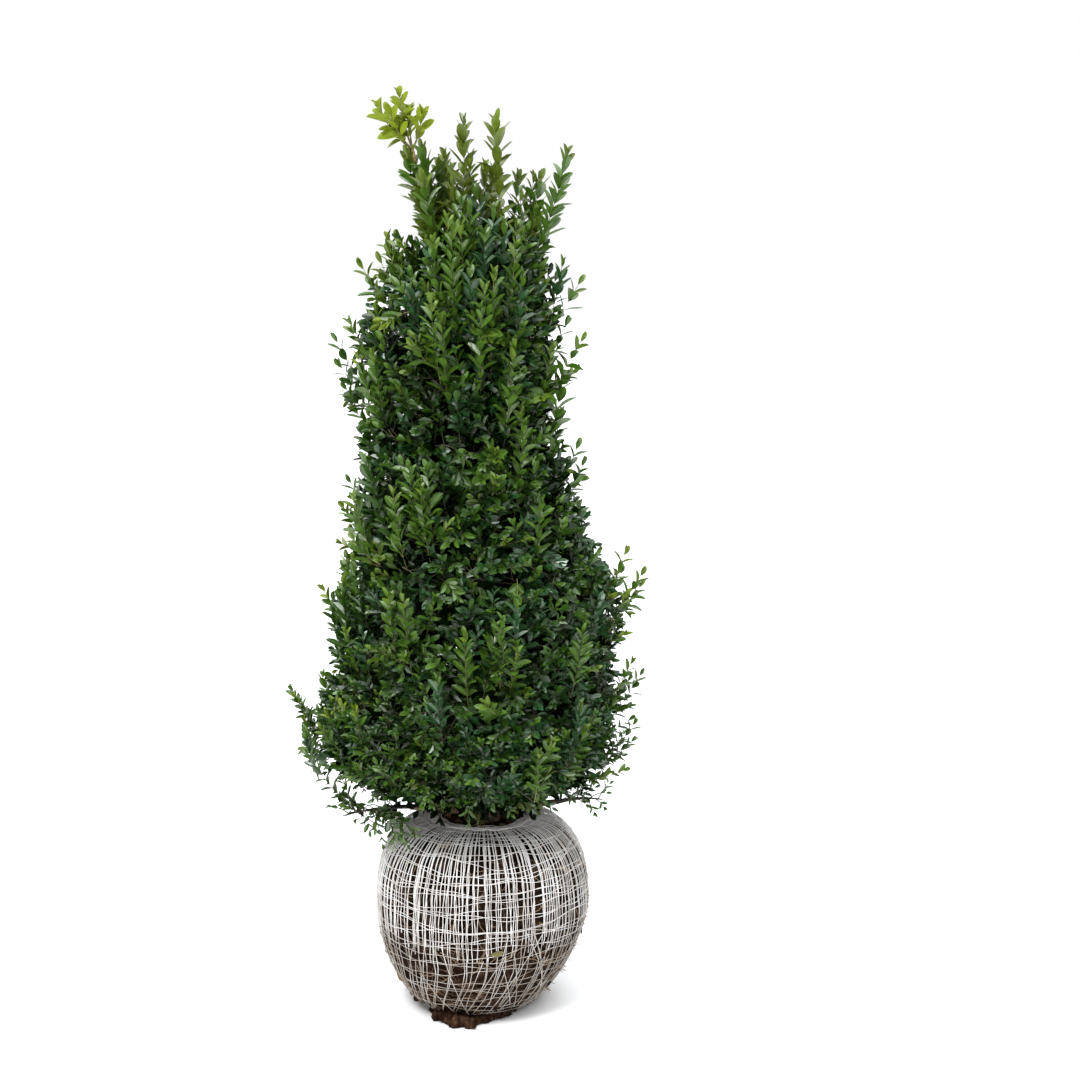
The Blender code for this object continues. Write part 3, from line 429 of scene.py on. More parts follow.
# The gathered rim: turns, points of each turn, distance between them down the side, and most slack
RIM_TURNS = 9
RIM_POINTS = 121
RIM_STEP = 0.005
RIM_SLACK = 0.0035
ROOTS_OVER_SOIL = 640
ROOTS_OUTWARDS = 420
# Roots and litter lie at least this high
LEAST_HEIGHT = 0.001
# Loose lumps of soil: how many, azimuths and shares of the side between which they lie, and sizes
CLOD_PLACES = [
    (60, (0.0, 6.28), (0.92, 1.0), (0.0012, 0.0036)),
    (80, (2.6, 5.2), (0.92, 1.0), (0.0015, 0.0060)),
    (40, (3.9, 5.2), (0.945, 1.0), (0.0050, 0.0100)),
    (90, (-0.5, 0.6), (0.10, 0.80), (0.0008, 0.0024)),
    (40, (0.1, 1.1), (0.0, 0.10), (0.0015, 0.0045)),
    (60, (0.0, 6.28), (0.05, 0.90), (0.0008, 0.0020)),
]
MOUTH_CLODS = 170
MOUTH_CLOD_SIZES = (0.0015, 0.0050)
# How much lighter the crumbs are than the soil: partly their own paler brown, partly painted light against
# the shade they lie in
CRUMB_GAIN = 2.1
# The ragged chin of soil that sags out at the foot in front: lumps, azimuths, distance and sizes
CHIN_CLODS = 95
CHIN_TURNS = (3.65, 5.05)
CHIN_REACH = (0.050, 0.098)
CHIN_SIZES = (0.0040, 0.0105)
# Dead leaves: how many under the net and how many in its mouth
LITTER_UNDER_NET = 46
LITTER_IN_MOUTH = 90

# ---------------------------------------------------------------- stage and camera

# Tones of the studio dome by the height of the direction, and its strength
DOME_TONES = [
    (0.0, (0.275,) * 3),
    (0.13, (0.275,) * 3),
    (0.25, (0.045,) * 3),
    (0.55, (0.13,) * 3),
    (0.95, (1.08, 1.10, 1.12)),
]
DOME_STRENGTH = 3.65
# Soft lights: name, place, target, size and power
LIGHTS = [
    ("key", (-0.9, -1.8, 2.8), (0.0, 0.0, 0.5), 0.9, 72.0),
    ("fill", (2.2, -1.2, 1.6), (0.0, 0.0, 0.5), 1.6, 9.0),
    ("front", (-0.4, -2.5, 0.95), (0.0, 0.0, 0.22), 1.2, 12.0),
]
FLOOR_HALF = 30.0
FLOOR_HEIGHT = -0.0005
CAMERA_PLACE = (0.069, -2.20, 0.912)
CAMERA_PITCH = math.radians(9.01)
CAMERA_LENS = 63.3


# ---------------------------------------------------------------- arrays and meshes


def unit(vectors):
    """The vectors, each divided by its length."""
    vectors = np.asarray(vectors, float)
    return vectors / np.maximum(np.linalg.norm(vectors, axis=-1, keepdims=True), 1e-9)


def mesh_object(name, materials, points, faces, indices=None):
    """A smooth mesh object from arrays of points, of faces with equally many corners, and of the
    numbers of the faces' materials."""
    mesh = bpy.data.meshes.new(name)
    mesh.vertices.add(len(points))
    mesh.vertices.foreach_set("co", np.ascontiguousarray(points, np.float32).ravel())
    mesh.loops.add(faces.size)
    mesh.loops.foreach_set("vertex_index", np.ascontiguousarray(faces, np.int32).ravel())
    mesh.polygons.add(len(faces))
    mesh.polygons.foreach_set("loop_start", np.arange(0, faces.size, faces.shape[1], dtype=np.int32))
    mesh.polygons.foreach_set("use_smooth", np.full(len(faces), True))
    for material in materials:
        mesh.materials.append(material)
    if indices is not None:
        mesh.polygons.foreach_set("material_index", np.ascontiguousarray(indices, np.int32))
    mesh.update(calc_edges=True)
    mesh.validate()
    made = bpy.data.objects.new(name, mesh)
    bpy.context.scene.collection.objects.link(made)
    return made


def piece(name, arrays, materials, slot, *nodes):
    """A piece of the plant: it rides with the body and replaces the nodes. The slot is not used."""
    made = mesh_object(name, materials, *arrays)
    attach(made, "root")
    if nodes:
        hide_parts(*nodes)


def ring_quads(rows, columns):
    """Quads between rows of points, each row a closed ring."""
    first = np.arange(rows - 1)[:, None] * columns
    side = np.arange(columns)[None, :]
    after = (side + 1) % columns
    corners = [first + side, first + after, first + columns + after, first + columns + side]
    return np.stack(corners, axis=-1).reshape(-1, 4)


def tube_arrays(path, widths, thicknesses, sides, reference):
    """Points and quads of a tube along a path. Its thickness lies along the reference direction."""
    tangents = unit(np.gradient(path, axis=0))
    across = unit(np.cross(tangents, reference))
    up = np.cross(across, tangents)
    turns = math.tau * (np.arange(sides) + 0.5) / sides
    rings = (
        path[:, None]
        + across[:, None] * (np.cos(turns)[None, :, None] * np.asarray(widths)[:, None, None])
        + up[:, None] * (np.sin(turns)[None, :, None] * np.asarray(thicknesses)[:, None, None])
    )
    return rings.reshape(-1, 3), ring_quads(len(path), sides)


def join_arrays(parts):
    """One set of arrays from many: points, faces and, where they have them, the faces' materials."""
    points, faces, *indices = zip(*parts)
    starts = np.cumsum([0] + [len(some) for some in points[:-1]])
    faces = [some + start for some, start in zip(faces, starts)]
    return [np.concatenate(some) for some in (points, faces, *indices)]


def round_tube(path, radii, sides=FINE_SIDES):
    """Points and quads of a round tube along a path."""
    way = np.abs(path[-1] - path[0])
    reference = np.zeros(3)
    reference[int(np.argmin(way))] = 1.0
    return tube_arrays(path, radii, radii, sides, reference)


def tube_set(tubes):
    """Arrays of fine tubes, each given by a path, its radii and the number of its material."""
    parts = []
    for path, radii, index in tubes:
        points, faces = round_tube(path, radii)
        parts.append((points, faces, np.full(len(faces), index)))
    return join_arrays(parts)


def bent_path(start, end, middle, count):
    """Points on the quadratic curve from start to end that is drawn towards middle."""
    share = np.linspace(0.0, 1.0, count)[:, None]
    return (1.0 - share) ** 2 * start + 2.0 * share * (1.0 - share) * middle + share**2 * end


def around(turn, out, up):
    """A vector that runs out from the axis at an azimuth in radians, and up."""
    return np.array((out * math.cos(turn), out * math.sin(turn), up))


def radial(azimuth, out, up):
    """A vector that runs out from the axis at an azimuth in degrees, and up."""
    return around(math.radians(azimuth), out, up)


def round_axis(point):
    """A point's distance from the axis and its azimuth in degrees."""
    return math.hypot(point[0], point[1]), math.degrees(math.atan2(point[1], point[0]))


def sampled(places, keys, rows):
    """The rows of numbers at places between their keys."""
    return np.stack([np.interp(places, keys, column) for column in rows.T], axis=-1)


def above(points, least):
    """The points, none of them lower than the least height."""
    points[..., 2] = np.maximum(points[..., 2], least)
    return points


def jitter(chance, spread):
    """A vector of three normal draws."""
    return np.array([chance.gauss(0.0, spread) for _ in range(3)])


def interpolate(rows, key, column=1):
    """The value of one column of rows at key, between the rows' first values."""
    return float(np.interp(key, [row[0] for row in rows], [row[column] for row in rows]))


# ---------------------------------------------------------------- materials


def add_noise(nodes, links, scale, detail, roughness=0.6):
    """The height of a noise texture in object coordinates."""
    place = nodes.new("ShaderNodeTexCoord")
    texture = nodes.new("ShaderNodeTexNoise")
    texture.inputs["Scale"].default_value = scale
    texture.inputs["Detail"].default_value = detail
    texture.inputs["Roughness"].default_value = roughness
    links.new(place.outputs["Object"], texture.inputs["Vector"])
    return texture.outputs["Fac"]


def add_ramp(nodes, links, source, stops, target):
    """A colour ramp with the stops, each a place and a colour, from source to target."""
    ramp = nodes.new("ShaderNodeValToRGB")
    elements = ramp.color_ramp.elements
    while len(elements) < len(stops):
        elements.new(0.5)
    for element, (place, colour) in zip(elements, stops):
        element.position = place
        element.color = (*colour, 1.0)
    links.new(source, ramp.inputs["Fac"])
    links.new(ramp.outputs["Color"], target)


def surface(name, tone, stops, roughness, gloss=0.5, relief=None, grain=None):
    """A material coloured by a noise through the stops. Its relief has a strength and a distance, and
    follows a grain of its own or the same noise."""
    material = bpy.data.materials.new(name)
    material.use_nodes = True
    nodes, links = material.node_tree.nodes, material.node_tree.links
    shader = nodes["Principled BSDF"]
    height = add_noise(nodes, links, *tone)
    add_ramp(nodes, links, height, stops, shader.inputs["Base Color"])
    if relief:
        bump = nodes.new("ShaderNodeBump")
        bump.inputs["Strength"].default_value, bump.inputs["Distance"].default_value = relief
        links.new(add_noise(nodes, links, *grain) if grain else height, bump.inputs["Height"])
        links.new(bump.outputs["Normal"], shader.inputs["Normal"])
    shader.inputs["Roughness"].default_value = roughness
    shader.inputs["Specular IOR Level"].default_value = gloss
    return material


def scaled(stops, gain):
    """The stops with their colours made lighter or darker."""
    return [(place, tuple(value * gain for value in colour)) for place, colour in stops]


def leaf_material(name, colour, roughness, gloss):
    """A glossy leaf: its base colour with soft mottling, and a faintly veined surface."""
    stops = scaled([(0.32, colour)], 0.78) + scaled([(0.68, colour)], 1.22)
    material = surface(name, (70.0, 2.0), stops, roughness, gloss, (0.25, 0.0003), (900.0, 2.0))
    material.diffuse_color = (*colour, 1.0)
    return material


def bark_material(name, dark, light, roughness=0.85):
    """Bark: two browns in fine fissures."""
    stops = [(0.35, dark), (0.65, light)]
    material = surface(name, (260.0, 6.0, 0.7), stops, roughness, relief=(0.6, 0.0012))
    material.diffuse_color = (*light, 1.0)
    return material


def soil_material(name, gain=1.0):
    """Damp soil bound by fine roots: dark brown, with rusty and fawn flecks."""
    stops = [
        (0.38, (0.004, 0.0018, 0.0010)),
        (0.52, (0.016, 0.0078, 0.0044)),
        (0.64, (0.050, 0.026, 0.015)),
        (0.78, (0.150, 0.092, 0.058)),
    ]
    tone, grain = (60.0, 8.0, 0.72), (420.0, 6.0, 0.75)
    return surface(name, tone, scaled(stops, gain), 0.95, 0.05, (0.9, 0.0020), grain)


def net_material(name, soiled, dull, clean):
    """Off-white woven strands, dulled by soil in patches."""
    stops = [(0.32, soiled), (0.48, dull), (0.62, clean)]
    return surface(name, (26.0, 5.0, 0.65), stops, 0.75, 0.3, (0.5, 0.0004), (1600.0, 3.0))


def floor_material():
    """A plain pale floor with the faintest unevenness."""
    return surface("floor", (2.0, 2.0), [(0.3, (0.86,) * 3), (0.7, (0.88,) * 3)], 0.9)


# ---------------------------------------------------------------- the soil ball and its surface


def ball_profile():
    """The ball's side as a smooth line of radius and height, from the mouth's rim to the foot's edge,
    and the share of its length at each point."""
    rings = np.array(BALL_RINGS)
    ends = np.vstack([2.0 * rings[0] - rings[1], rings, 2.0 * rings[-1] - rings[-2]])
    share = np.linspace(0.0, 1.0, 12, endpoint=False)[:, None]
    pieces = []
    for before, here, after, beyond in zip(ends, ends[1:], ends[2:], ends[3:]):
        bend = 2.0 * before - 5.0 * here + 4.0 * after - beyond
        twist = 3.0 * here - before - 3.0 * after + beyond
        lean = after - before
        pieces.append(here + 0.5 * (lean * share + bend * share**2 + twist * share**3))
    line = np.vstack(pieces + [rings[-1:]])
    steps = np.concatenate([[0.0], np.cumsum(np.linalg.norm(np.diff(line, axis=0), axis=1))])
    return line, steps / steps[-1]


PROFILE, PROFILE_SHARES = ball_profile()
PROFILE_SLOPES = np.gradient(PROFILE, PROFILE_SHARES, axis=0)


def on_ball(azimuths, shares, lift=0.0):
    """Places on the ball's side at azimuths in radians and shares of the way from mouth to foot."""
    azimuths, shares = np.broadcast_arrays(np.asarray(azimuths, float), np.asarray(shares, float))
    line = sampled(shares, PROFILE_SHARES, PROFILE)
    slope = unit(sampled(shares, PROFILE_SHARES, PROFILE_SLOPES))
    radius = line[..., 0] - slope[..., 1] * lift
    height = line[..., 1] + slope[..., 0] * lift
    lump = BALL_LUMP * np.sin(3.0 * azimuths + 22.0 * height)
    lump = lump + BALL_LUMP * 0.6 * np.sin(5.0 * azimuths - 31.0 * height + 1.0)
    low = np.maximum(0.0, 1.0 - height / BALL_BULGE_HEIGHT)
    swell = BALL_FOOT_SWELL * low * np.cos(azimuths - FOOT_SWELL_AZIMUTH)
    radius = radius * (1.0 + lump + swell)
    return np.stack([radius * np.cos(azimuths), radius * np.sin(azimuths), height], axis=-1)


def ball_normals(azimuths, shares):
    """Outward directions of the ball's side."""
    return unit(on_ball(azimuths, shares, 0.002) - on_ball(azimuths, shares))


def relief(points):
    """The soil's fractal relief at each point, in metres."""
    total = np.zeros(len(points))
    for height, frequency in SOIL_RELIEF:
        total += height * np.array([noise.noise(Vector(point * frequency)) for point in points])
    return total


def build_soil():
    """The soil ball: its side with clods in relief, closed by the soil in the mouth and the foot."""
    azimuths = np.linspace(0.0, math.tau, SOIL_COLUMNS, endpoint=False)
    shares, azimuths = np.meshgrid(np.linspace(0.0, 1.0, SOIL_ROWS), azimuths, indexing="ij")
    side = on_ball(azimuths, shares).reshape(-1, 3)
    normals = ball_normals(azimuths, shares).reshape(-1, 3)
    low = np.clip((shares.ravel() - ROUGH_FROM) / 0.2, 0.0, 1.0)
    side = side + normals * (relief(side) * (1.0 + ROUGHER * low))[:, None]
    side = side.reshape(SOIL_ROWS, SOIL_COLUMNS, 3)
    mouth = []
    for share in np.linspace(0.0, 1.0, MOUTH_ROWS, endpoint=False)[1:]:
        ring = side[0] * np.array((share, share, 1.0))
        ring[:, 2] += relief(ring) * ROUGHER - MOUTH_DEPTH * (1.0 - share)
        mouth.append(ring)
    under = [side[-1] * np.array((share, share, 0.0)) for share in (0.8, 0.4)]
    grid = above(np.concatenate([mouth, side, under]), 0.0)
    quads = ring_quads(len(grid), SOIL_COLUMNS)[:, OUTWARDS]
    piece("soil_ball", (grid.reshape(-1, 3), quads), [soil_material("soil")], "soil", "root_ball")


# ---------------------------------------------------------------- the net


def strand(azimuths, shares, lift, slimness=1.0):
    """Arrays of one flat strand that lies on the ball."""
    shares = np.clip(shares, 0.0, 1.0)
    path = on_ball(azimuths, shares, lift + np.interp(shares, *SHOULDER_LIFT))
    path = above(path, 2.0 * STRAND_THICKNESS)
    widths = np.interp(shares, *STRAND_WIDTHS) * slimness
    thicknesses = np.full(len(path), STRAND_THICKNESS * slimness)
    return tube_arrays(path, widths, thicknesses, FINE_SIDES, ball_normals(azimuths, shares))


def waves(rows, angles, chance):
    """A sum of sine waves, each of a height and a number of periods round, with random phases."""
    return sum(height * np.sin(count * angles + chance.uniform(*ALL_ROUND)) for height, count in rows)


def skewed(azimuths, shares):
    """Azimuths of upright strands, pulled aside low on the front where the net is twisted."""
    low = np.clip((shares - NET_SKEW_START) / (1.0 - NET_SKEW_START), 0.0, 1.0)
    return azimuths - NET_SKEW * low**1.5 * np.maximum(0.0, np.cos(azimuths - FRONT))


def net_layer(chance, columns, hoops, last, lift):
    """One layer of net: upright strands from the mouth down to last, and hoops across them."""
    parts = []
    turns = math.tau * (np.arange(columns) + 0.5) / columns
    turns = turns + waves(NET_BUNCHES, turns, chance)
    for turn in turns:
        turn = turn + chance.uniform(-STRAND_SPREAD, STRAND_SPREAD) * 2.0 * np.pi / columns
        shares = np.linspace(0.0, last + chance.uniform(-LAST_SPREAD, LAST_SPREAD), STRAND_POINTS)
        sway = STRAND_SWAY * np.sin(2.0 * np.pi * SWAYS * shares + chance.uniform(*ALL_ROUND))
        drift = chance.gauss(0.0, STRAND_DRIFT) * shares
        parts.append(strand(skewed(turn + sway + drift, shares), shares, NET_LIFT + lift))
    for hoop in range(hoops):
        azimuths = np.linspace(0.0, math.tau, HOOP_POINTS)
        level = last * (hoop + 0.5 + chance.uniform(-HOOP_SPREAD, HOOP_SPREAD)) / hoops
        shares = level + waves(HOOP_WAVES, azimuths, chance)
        parts.append(strand(azimuths, shares, NET_LIFT + lift + HOOP_LIFT, HOOP_SLIMNESS))
    return parts


def slanted_strands(chance):
    """Strands of the loose lower layer that run aslant, most of them on the front."""
    parts = []
    for _ in range(SLANTED_STRANDS):
        near = chance.random() < SLANTED_IN_FRONT
        turn = chance.gauss(FRONT, SLANTED_SPREAD) if near else chance.uniform(*ALL_ROUND)
        first, last = chance.uniform(*SLANTED_STARTS), chance.uniform(*SLANTED_ENDS)
        shares = np.linspace(first, last, 20)
        lean = chance.choice((-1.0, 1.0)) * chance.uniform(*SLANTED_LEANS)
        parts.append(strand(turn + lean * (shares - first) / 0.4, shares, NET_LIFT + SLANTED_LIFT))
    return parts


def net_rim(chance):
    """The gathered rim of the net round its mouth: loose turns that lie over each other."""
    parts = []
    for turn in range(RIM_TURNS):
        azimuths = np.linspace(0.0, math.tau, RIM_POINTS)
        rows = [(0.010, chance.randint(4, 7)), (0.006, chance.randint(9, 15))]
        shares = 0.010 + RIM_STEP * turn + waves(rows, azimuths, chance)
        parts.append(strand(azimuths, shares, NET_LIFT + chance.uniform(0.0, RIM_SLACK)))
    return parts


def build_net():
    """Two layers of net, the second one shorter, slanted strands between them, and the gathered rim.
    The strands are darker towards the foot, and lightest on top, where painted light makes up for the
    crown's shade."""
    parts = []
    for columns, hoops, last, lift, seed in NET_LAYERS:
        parts += net_layer(random.Random(seed), columns, hoops, last, lift)
    chance = random.Random(7)
    parts += slanted_strands(chance) + net_rim(chance)
    points, faces = join_arrays(parts)
    heights = points[faces].mean(axis=1)[:, 2]
    heights = heights + np.random.default_rng(5).normal(0.0, NET_TONE_SPREAD, len(faces))
    # From the foot up: darkest to palest strands; the top one is painted light where the crown shades the
    # ball
    materials = [
        net_material("netting_darkest", (0.20, 0.155, 0.12), (0.40, 0.35, 0.30), (0.55, 0.51, 0.47)),
        net_material("netting_darker", (0.28, 0.235, 0.20), (0.47, 0.43, 0.395), (0.62, 0.59, 0.56)),
        net_material("netting_pale", (0.42, 0.375, 0.34), (0.66, 0.635, 0.61), (0.76, 0.745, 0.74)),
        net_material("netting_top_painted_light", (0.56, 0.52, 0.49), (0.76, 0.74, 0.725), (0.84, 0.83, 0.825)),
    ]
    arrays = (points, faces, np.digitize(heights, NET_TONE_HEIGHTS))
    piece("netting", arrays, materials, "netting", "root_ball_netting")


# ---------------------------------------------------------------- roots, clods and litter


def root_over_soil(chance):
    """The path of one fine root that wanders over the soil, mostly sideways."""
    azimuth, share = chance.uniform(0.0, 2.0 * math.pi), chance.uniform(0.05, 0.97) ** 0.7
    heading = chance.gauss(0.0, 0.5)
    azimuths, shares = [azimuth], [share]
    for _ in range(7):
        heading += chance.gauss(0.0, 0.35)
        azimuths.append(azimuths[-1] + 0.050 * math.cos(heading))
        shares.append(min(max(shares[-1] + 0.022 * math.sin(heading), 0.0), 1.0))
    return on_ball(np.array(azimuths), np.array(shares), chance.uniform(0.0006, 0.0020))


def root_outwards(chance):
    """The path of a short root that pokes out through the net, most of them on the right."""
    azimuth = chance.gauss(0.10, 0.45) if chance.random() < 0.6 else chance.uniform(*ALL_ROUND)
    share = chance.uniform(0.15, 0.92)
    start = on_ball(azimuth, share)
    away = ball_normals(azimuth, share) + jitter(chance, 0.7)
    end = start + unit(away) * chance.uniform(0.005, 0.0115)
    return bent_path(start, end, (start + end) / 2.0 + jitter(chance, 0.0015), 5)


def build_roots():
    """Fine roots that run over the soil under the net, and short ones that poke out through it."""
    chance = random.Random(11)
    tubes = []
    for _ in range(ROOTS_OVER_SOIL):
        path = above(root_over_soil(chance), LEAST_HEIGHT)
        radii = np.linspace(chance.uniform(0.0003, 0.0008), 0.0002, len(path))
        tubes.append((path, radii, chance.choice((0, 0, 1))))
    for _ in range(ROOTS_OUTWARDS):
        path = above(root_outwards(chance), LEAST_HEIGHT)
        tubes.append((path, np.linspace(0.0006, 0.0002, len(path)), chance.choice((0, 1))))
    materials = [
        bark_material("root_brown", (0.060, 0.032, 0.018), (0.170, 0.095, 0.050)),
        bark_material("root_fawn", (0.200, 0.130, 0.070), (0.380, 0.270, 0.160)),
    ]
    piece("fine_roots", tube_set(tubes), materials, "soil")


def clod(chance, centre, sizes):
    """Arrays of one rough lump of soil."""
    size = chance.uniform(*sizes)
    rings, columns = 4, 6
    shift = Vector((chance.uniform(0.0, 50.0), 0.0, 0.0))
    points = []
    for ring in range(rings + 1):
        for column in range(columns):
            polar, turn = math.pi * ring / rings, math.tau * column / columns
            way = Vector(around(turn, math.sin(polar), math.cos(polar)))
            points.append(way * (1.0 + 0.55 * noise.noise(way * 1.7 + shift)))
    stretch = np.array([chance.uniform(0.6, 1.3) for _ in range(3)]) * size
    points = above(np.array(points) * stretch + centre, 0.0)
    return points, ring_quads(rings + 1, columns)[:, OUTWARDS]


def build_clods():
    """Loose lumps of soil: round the foot of the trunk in the mouth, at the ball's foot and in the net."""
    chance = random.Random(13)
    parts = []
    for _ in range(MOUTH_CLODS):
        turn, out = chance.uniform(0.0, math.tau), 0.018 + 0.032 * math.sqrt(chance.random())
        parts.append(clod(chance, around(turn, out, BALL_TOP - 0.001), MOUTH_CLOD_SIZES))
    for _ in range(CHIN_CLODS):
        share = chance.random()
        turn = CHIN_TURNS[0] + share * (CHIN_TURNS[1] - CHIN_TURNS[0])
        reach = CHIN_REACH[0] + (CHIN_REACH[1] - CHIN_REACH[0]) * math.sin(math.pi * share)
        out = chance.uniform(CHIN_REACH[0], max(reach, CHIN_REACH[0] + 0.004))
        parts.append(clod(chance, around(turn, out, 0.003 + 0.10 * (reach - out)), CHIN_SIZES))
    for count, turns, shares, sizes in CLOD_PLACES:
        for _ in range(count):
            place = on_ball(chance.uniform(*turns), chance.uniform(*shares), 0.0015)
            parts.append(clod(chance, place, sizes))
    # The crumbs' soil is lighter, partly painted light for the shade they lie in
    piece("soil_clods", join_arrays(parts), [soil_material("soil_crumbs", CRUMB_GAIN)], "soil")


def build_litter():
    """Dead leaves that lie under the net and on the soil in its mouth."""
    chance = random.Random(17)
    generator = np.random.default_rng(17)
    materials = [leaf_material("litter_" + name, *look) for name, look in LITTER_COLOURS.items()]
    places, uppers = [], []
    for _ in range(LITTER_UNDER_NET):
        azimuth, share = chance.uniform(0.0, 2.0 * math.pi), chance.uniform(0.08, 0.80)
        places.append(on_ball(azimuth, share, 0.0012))
        uppers.append(ball_normals(azimuth, share))
    for _ in range(LITTER_IN_MOUTH):
        turn, out = chance.uniform(0.0, 2.0 * math.pi), 0.020 + 0.030 * math.sqrt(chance.random())
        places.append(around(turn, out, BALL_TOP + 0.001))
        uppers.append(np.array((0.0, 0.0, 1.0)))
    count = len(places)
    uppers = np.array(uppers) + generator.normal(0.0, 0.25, (count, 3))
    blades = unit(np.cross(uppers, generator.normal(0.0, 1.0, (count, 3))))
    lengths = generator.uniform(0.010, 0.019, count)
    shades = generator.integers(0, len(materials), count)
    leaves = [(np.array(places), blades, uppers, lengths, lengths * 0.46, shades)]
    points, faces, indices = leaf_arrays(leaves, "plain", generator)
    piece("leaf_litter", (above(points, LEAST_HEIGHT), faces, indices), materials, "foliage")


# ---------------------------------------------------------------- trunk and boughs


def trunk_axis(height):
    """The middle of the trunk at a height above the soil."""
    share = height / TRUNK_RINGS[-1][0]
    y = TRUNK_SWAY * math.sin(math.pi * share) * share
    return np.array((-TRUNK_LEAN * share, y, BALL_TOP + GAP + height))


def bark_tube(path, radii, sides, seed, flare=0.0):
    """Arrays of a limb with fissured bark and a knobbly line, and lobes at its foot if it flares."""
    points, quads = round_tube(path, radii, sides)
    rings = points.reshape(len(path), sides, 3)
    away = rings - path[:, None]
    turns = 2.0 * np.pi * np.arange(sides) / sides
    for index, ring in enumerate(away):
        height = np.linalg.norm(path[index] - path[0])
        lobes = flare * math.exp(-height / 0.012) * np.cos(5.0 * turns + seed)
        for column, spoke in enumerate(ring):
            place = Vector(rings[index, column])
            stretched = Vector((place.x * 420.0, place.y * 420.0, place.z * 90.0 + seed))
            swell = 0.16 * noise.noise(stretched) + 0.10 * noise.noise(place * 60.0)
            ring[column] = spoke * (1.0 + swell + lobes[column])
    return (path[:, None] + away).reshape(-1, 3), quads


def limb_ends(node):
    """The ends of a straight bough and their radii, from its solid."""
    corners = np.array([vertex.co for vertex in node.data.vertices], float)
    middle = corners.mean(axis=0)
    way = np.linalg.svd(corners - middle)[2][0]
    way = way if way[:2] @ middle[:2] > 0.0 else -way
    along = (corners - middle) @ way
    ends = []
    for chosen in (along < 0.0, along > 0.0):
        centre = (corners[chosen].min(axis=0) + corners[chosen].max(axis=0)) / 2.0
        ends.append((centre, np.linalg.norm(corners[chosen] - centre, axis=1).max()))
    return ends


def build_limbs(frame):
    """The trunk, every bough and the pale leader's bare limb, with their bark. Returns the boughs."""
    heights = np.linspace(0.0, TRUNK_RINGS[-1][0], 150)
    path = np.array([trunk_axis(height) for height in heights])
    radii = np.array([interpolate(TRUNK_RINGS, height) for height in heights])
    parts = [bark_tube(path, radii, 26, 1.0, flare=0.12)]
    boughs = {}
    for name, node in frame["nodes"].items():
        if "_bough" in name and name != "pale_leader_bough":
            (start, radius), (end, tip_radius) = limb_ends(node)
            path = start + (end - start) * np.linspace(-0.15, 1.0, 16)[:, None]
            parts.append(bark_tube(path, np.linspace(radius, tip_radius, 16), 12, len(boughs)))
            boughs[name] = (start, end, tip_radius)
    foot = trunk_axis(PALE_FOOT_HEIGHT) - np.array((PALE_FOOT_SHIFT, 0.0, 0.0))
    route = np.array([foot, *PALE_ROUTE])
    keys = np.linspace(0.0, 1.0, len(route))
    shares = np.linspace(0.0, 1.0, 50)
    pale = bark_tube(sampled(shares, keys, route), np.interp(shares, keys, PALE_RADII), 10, 5.0)
    parts = [(*part, np.zeros(len(part[1]))) for part in parts] + [(*pale, np.ones(len(pale[1])))]
    materials = [
        bark_material("bark", (0.060, 0.034, 0.020), (0.215, 0.130, 0.075)),
        bark_material("bark_ochre", (0.210, 0.140, 0.050), (0.400, 0.290, 0.120)),
    ]
    nodes = ["trunk", "pale_leader_bough", *boughs]
    piece("trunk_and_boughs", join_arrays(parts), materials, "bark", *nodes)
    return boughs


# ---------------------------------------------------------------- the crown's spaces, as in the source


def crown_reach(azimuth, height):
    """How far the crown's face is from the axis at an azimuth in degrees and at a height."""
    turn = math.radians(azimuth)
    radius, shift = interpolate(CROWN_OUTLINE, height), interpolate(CROWN_OUTLINE, height, 2)
    return shift * math.cos(turn) + math.sqrt(radius**2 - (shift * math.sin(turn)) ** 2)


# A mass's space: its tier and number in it, the heights of its lower and upper cones at the axis, the
# slope of the lower one, the azimuths, the inner radius, and the columns and rises of its shoots
Space = namedtuple("Space", "tier number low high slope start end inner columns rises")


def crown_spaces():
    """Every mass's space."""
    tops = [row[1] for row in TIERS[1:]] + [SPACE_TOP]
    spaces = []
    for (tier, low, first, count, *rest), high in zip(TIERS, tops):
        slope = SKIRT_SLOPE if tier == "skirt" else TIER_SLOPE
        width = 360.0 / count
        for sector in range(count):
            start = first + sector * width
            spaces.append(Space(tier, sector + 1, low, high, slope, start, start + width, *rest))
    return spaces


def low_surface(space, out):
    """The height of the space's lower side at a distance from the axis."""
    return space.low + space.slope * out


def high_surface(space, out):
    """The height of the space's upper side at a distance from the axis."""
    return space.high + TIER_SLOPE * out


def meeting_heights(space, azimuth, depth):
    """The heights at which both sides of the space meet the surface that lies depth below the face."""
    heights = []
    for side in (low_surface, high_surface):
        height = side(space, 0.0)
        for _ in range(MEETING_STEPS):
            height = min(side(space, crown_reach(azimuth, height) - depth), FACE_TOP)
        heights.append(height)
    return heights


def lifted(space, root):
    """The root of a shoot, moved in where it is too near the face, and up from the space's lower side."""
    out, azimuth = round_axis(root)
    share = min(1.0, (crown_reach(azimuth, root[2]) - ROOT_DEPTH) / max(out, 1e-6))
    least = low_surface(space, out * share) + ROOT_CLEARANCE
    return np.array((root[0] * share, root[1] * share, max(root[2], least)))


def in_sector(space, point):
    """Whether the point is inside a mass's space."""
    out, azimuth = round_axis(point)
    inside = (azimuth - space.start) % 360.0 < space.end - space.start
    return inside and low_surface(space, out) < point[2] < high_surface(space, out)


# ---------------------------------------------------------------- the crown's shoots


